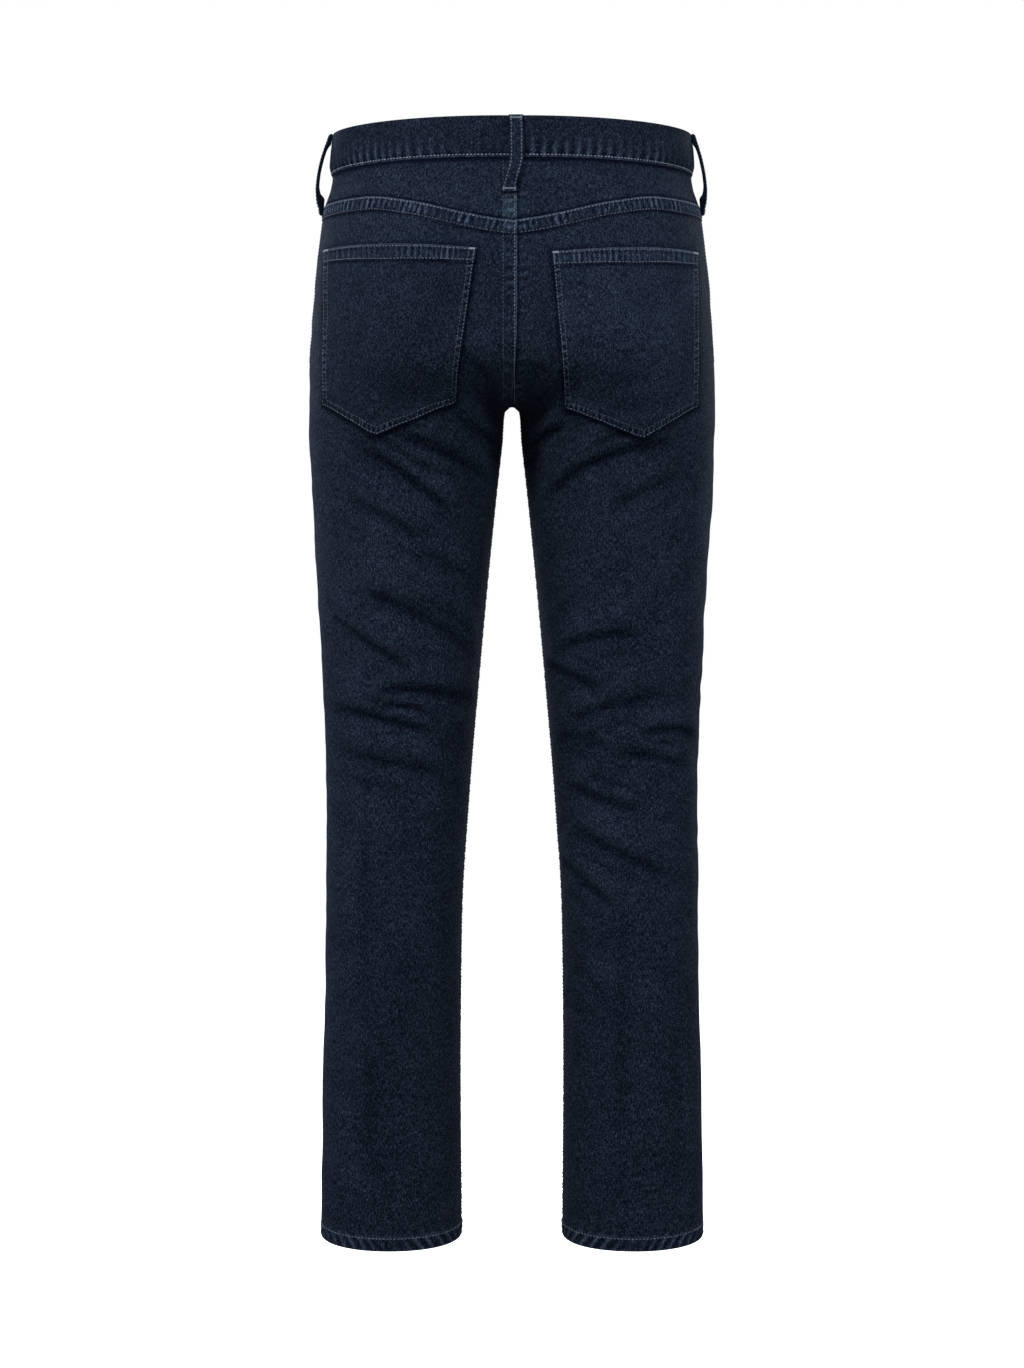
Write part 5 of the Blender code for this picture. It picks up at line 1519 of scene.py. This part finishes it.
def denim(name, tone):
    """Dark indigo twill: salt and pepper speckle, short warp streaks, fine ribs, soft clouds, paler wear, and
    painted shade and highlights.
    """
    n = Nodes(name)
    place = n.add("ShaderNodeAttribute", attribute_name="cloth").outputs["Vector"]
    worn_and_shaded = n.add("ShaderNodeAttribute", attribute_name="wear_and_shade").outputs["Fac"]
    split = n.add("ShaderNodeSeparateXYZ", {"Vector": place})
    u, v = split.outputs["X"], split.outputs["Y"]

    def flat(x, y):
        return n.add("ShaderNodeCombineXYZ", {"X": x, "Y": y}).outputs[0]

    across, down = STREAK_SCALE
    streaks = n.noise(flat(n.times(u, across), n.times(v, down)), 1.0, 2.0, 0.6)
    across, down = SPECKLE_SCALE
    speckle = n.noise(flat(n.times(u, across), n.times(v, down)), 1.0, 2.0, 0.7)
    pick = n.math("FLOOR", n.times(v, 1 / YARN_LENGTH))
    end = n.math("FLOOR", n.plus(n.times(u, 1 / YARN_WIDTH), n.times(pick, YARN_SHIFT)))
    cell = flat(end, pick)
    yarns = n.add("ShaderNodeTexWhiteNoise", {"Vector": cell}, noise_dimensions="2D").outputs["Value"]
    clouds = n.noise(place, CLOUD_SCALE, 3.0, 0.6)
    mottle = n.noise(place, MOTTLE_SCALE, 2.0, 0.6)
    turn = 2 * math.pi / TWILL_PITCH
    slope = n.plus(n.times(u, turn), n.times(v, turn))
    ribs = n.math("SINE", n.plus(slope, n.times(n.noise(place, RIB_WANDER_SCALE, 1.0), RIB_WANDER)))
    light = n.times(ribs, RIB_TONE)
    parts = ((yarns, YARNS), (speckle, SPECKLE), (streaks, STREAKS), (clouds, CLOUDS), (mottle, MOTTLE))
    for value, share in parts:
        light = n.plus(light, n.times(n.math("SUBTRACT", value, 0.5), share))
    # Wear, painted shade and painted highlights from the mesh attribute make the cloth paler or darker
    light = n.plus(light, n.times(worn_and_shaded, WEAR_AND_SHADE_TONE))
    factor = n.math("POWER", n.plus(light, BASE_TONE, clamp=True), TONE_POWER)
    hue = n.ramp(n.noise(place, HUE_SCALE, 2.0, 0.6), 0.3, 0.7)
    pale = n.mix(hue, rgba(PALE_GREENER, tone), rgba(PALE_REDDER, tone))
    weave = n.plus(n.times(ribs, RIB_HEIGHT), n.plus(streaks, speckle))
    n.shade({
        "Base Color": n.mix(factor, rgba(DENIM_DARK, tone), pale), "Normal": n.bump(weave, 0.4),
        "Roughness": 0.95, "Specular IOR Level": 0.05,
        "Sheen Weight": 0.02, "Sheen Roughness": 0.5, "Sheen Tint": rgba(SHEEN_TINT),
    })
    return n.material


def thread_material():
    n = Nodes("tonal_thread")
    pale = n.add("ShaderNodeAttribute", attribute_name="wear_and_shade").outputs["Fac"]
    place = n.add("ShaderNodeTexCoord").outputs["Object"]
    uneven = n.times(n.plus(n.noise(place, THREAD_SCALE, 2.0), 0.5), pale, clamp=True)
    colour = n.mix(uneven, rgba(THREAD_DARK), rgba(THREAD_PALE))
    n.shade({"Base Color": colour, "Roughness": 0.7, "Specular IOR Level": 0.15})
    return n.material


def metal_material():
    n = Nodes("dull_metal")
    place = n.add("ShaderNodeTexCoord").outputs["Object"]
    factor = n.noise(place, METAL_SCALE, 4.0, 0.65)
    n.shade({
        "Base Color": n.mix(factor, rgba(METAL_DARK), rgba(METAL_PALE)), "Normal": n.bump(factor, 0.3),
        "Roughness": n.plus(n.times(factor, 0.3), 0.25), "Metallic": 1.0,
    })
    return n.material


def plain_material(name, colour, glow):
    n = Nodes(name)
    n.shade({
        "Base Color": rgba(colour), "Roughness": 0.9, "Specular IOR Level": 0.0,
        "Emission Color": rgba(WHITE), "Emission Strength": glow,
    })
    return n.material


def backdrop(name, material, make, **sizes):
    """Floor or surround, which the camera sees but the cloth isn't lit by."""
    builder = bmesh.new()
    make(builder, radius=ROOM_RADIUS, **sizes)
    mesh = bpy.data.meshes.new(name)
    builder.to_mesh(mesh)
    builder.free()
    mesh.materials.append(material)
    item = add_object(name, mesh)
    item.visible_diffuse = False
    item.visible_glossy = False
    item.visible_transmission = False
    return item


def studio():
    """Pale floor and white surround, soft lights and the photograph's camera."""
    pale = plain_material("pale_floor", FLOOR_COLOUR, FLOOR_GLOW)
    white = plain_material("white_surround", (0.0, 0.0, 0.0), 1.0)
    floor = backdrop("floor", pale, bmesh.ops.create_circle, cap_ends=True, segments=96)
    floor.location = (0.0, 0.0, FLOOR_LEVEL)
    dome = backdrop("surround", white, bmesh.ops.create_uvsphere, u_segments=48, v_segments=24)
    dome.visible_shadow = False
    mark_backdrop(floor, dome)

    scene = bpy.context.scene
    world = bpy.data.worlds.new("soft_room")
    world.use_nodes = True
    background = world.node_tree.nodes["Background"]
    background.inputs["Color"].default_value = rgba(WHITE)
    background.inputs["Strength"].default_value = ROOM_LIGHT
    scene.world = world
    for name, place, target, size, power in LIGHTS:
        lamp = bpy.data.lights.new(name, "AREA")
        lamp.shape = "DISK"
        lamp.size = size
        lamp.energy = power
        item = add_object(name, lamp)
        item.location = place
        item.rotation_euler = (Vector(target) - Vector(place)).to_track_quat("-Z", "Y").to_euler()

    camera = bpy.data.cameras.new("camera")
    camera.sensor_width = SENSOR_WIDTH
    camera.lens = SENSOR_WIDTH * CAMERA_DISTANCE / FRAME_HEIGHT
    item = add_object("camera", camera)
    item.location = (0.0, -CAMERA_DISTANCE, CAMERA_LEVEL)
    item.rotation_euler = (math.pi / 2, 0.0, 0.0)
    scene.camera = item
    scene.view_settings.view_transform = "Standard"
    scene.view_settings.look = "None"


def build():
    """The dressed part in its studio. Returns the corners of the box round the plain part."""
    for item in list(bpy.data.objects):
        bpy.data.objects.remove(item, do_unlink=True)
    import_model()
    low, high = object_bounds()
    cloth = {name: denim("denim_" + name, tone) for name, tone in DENIM_TONES.items()}
    thread, metal = thread_material(), metal_material()
    pockets = []
    for side in ("left", "right"):
        panel(side, "back", yoke_seam_drop, cloth["panels"], BACK_CUT)
        panel(side, "front", front_top, cloth["panels"], FRONT_CUT)
        yoke(side, cloth["yokes"])
        facing(side, cloth["panels"])
        pockets.append(pocket(side, cloth["pocket_" + side]))
    band = waistband(cloth["band"])
    loops = [belt_loop(entry, cloth["loops"]) for entry in LOOPS]
    waist_button(metal)
    back_stitches(thread)
    front_stitches(thread)
    other_stitches(thread, pockets, band, loops)
    studio()
    return low, high


MAPS = section_maps()
LINES = fold_lines()
STITCH_FACES = stitch_faces()
cad_low, cad_high = build()
low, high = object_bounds()
{"cad": [list(cad_low), list(cad_high)], "visual": [list(low), list(high)]}
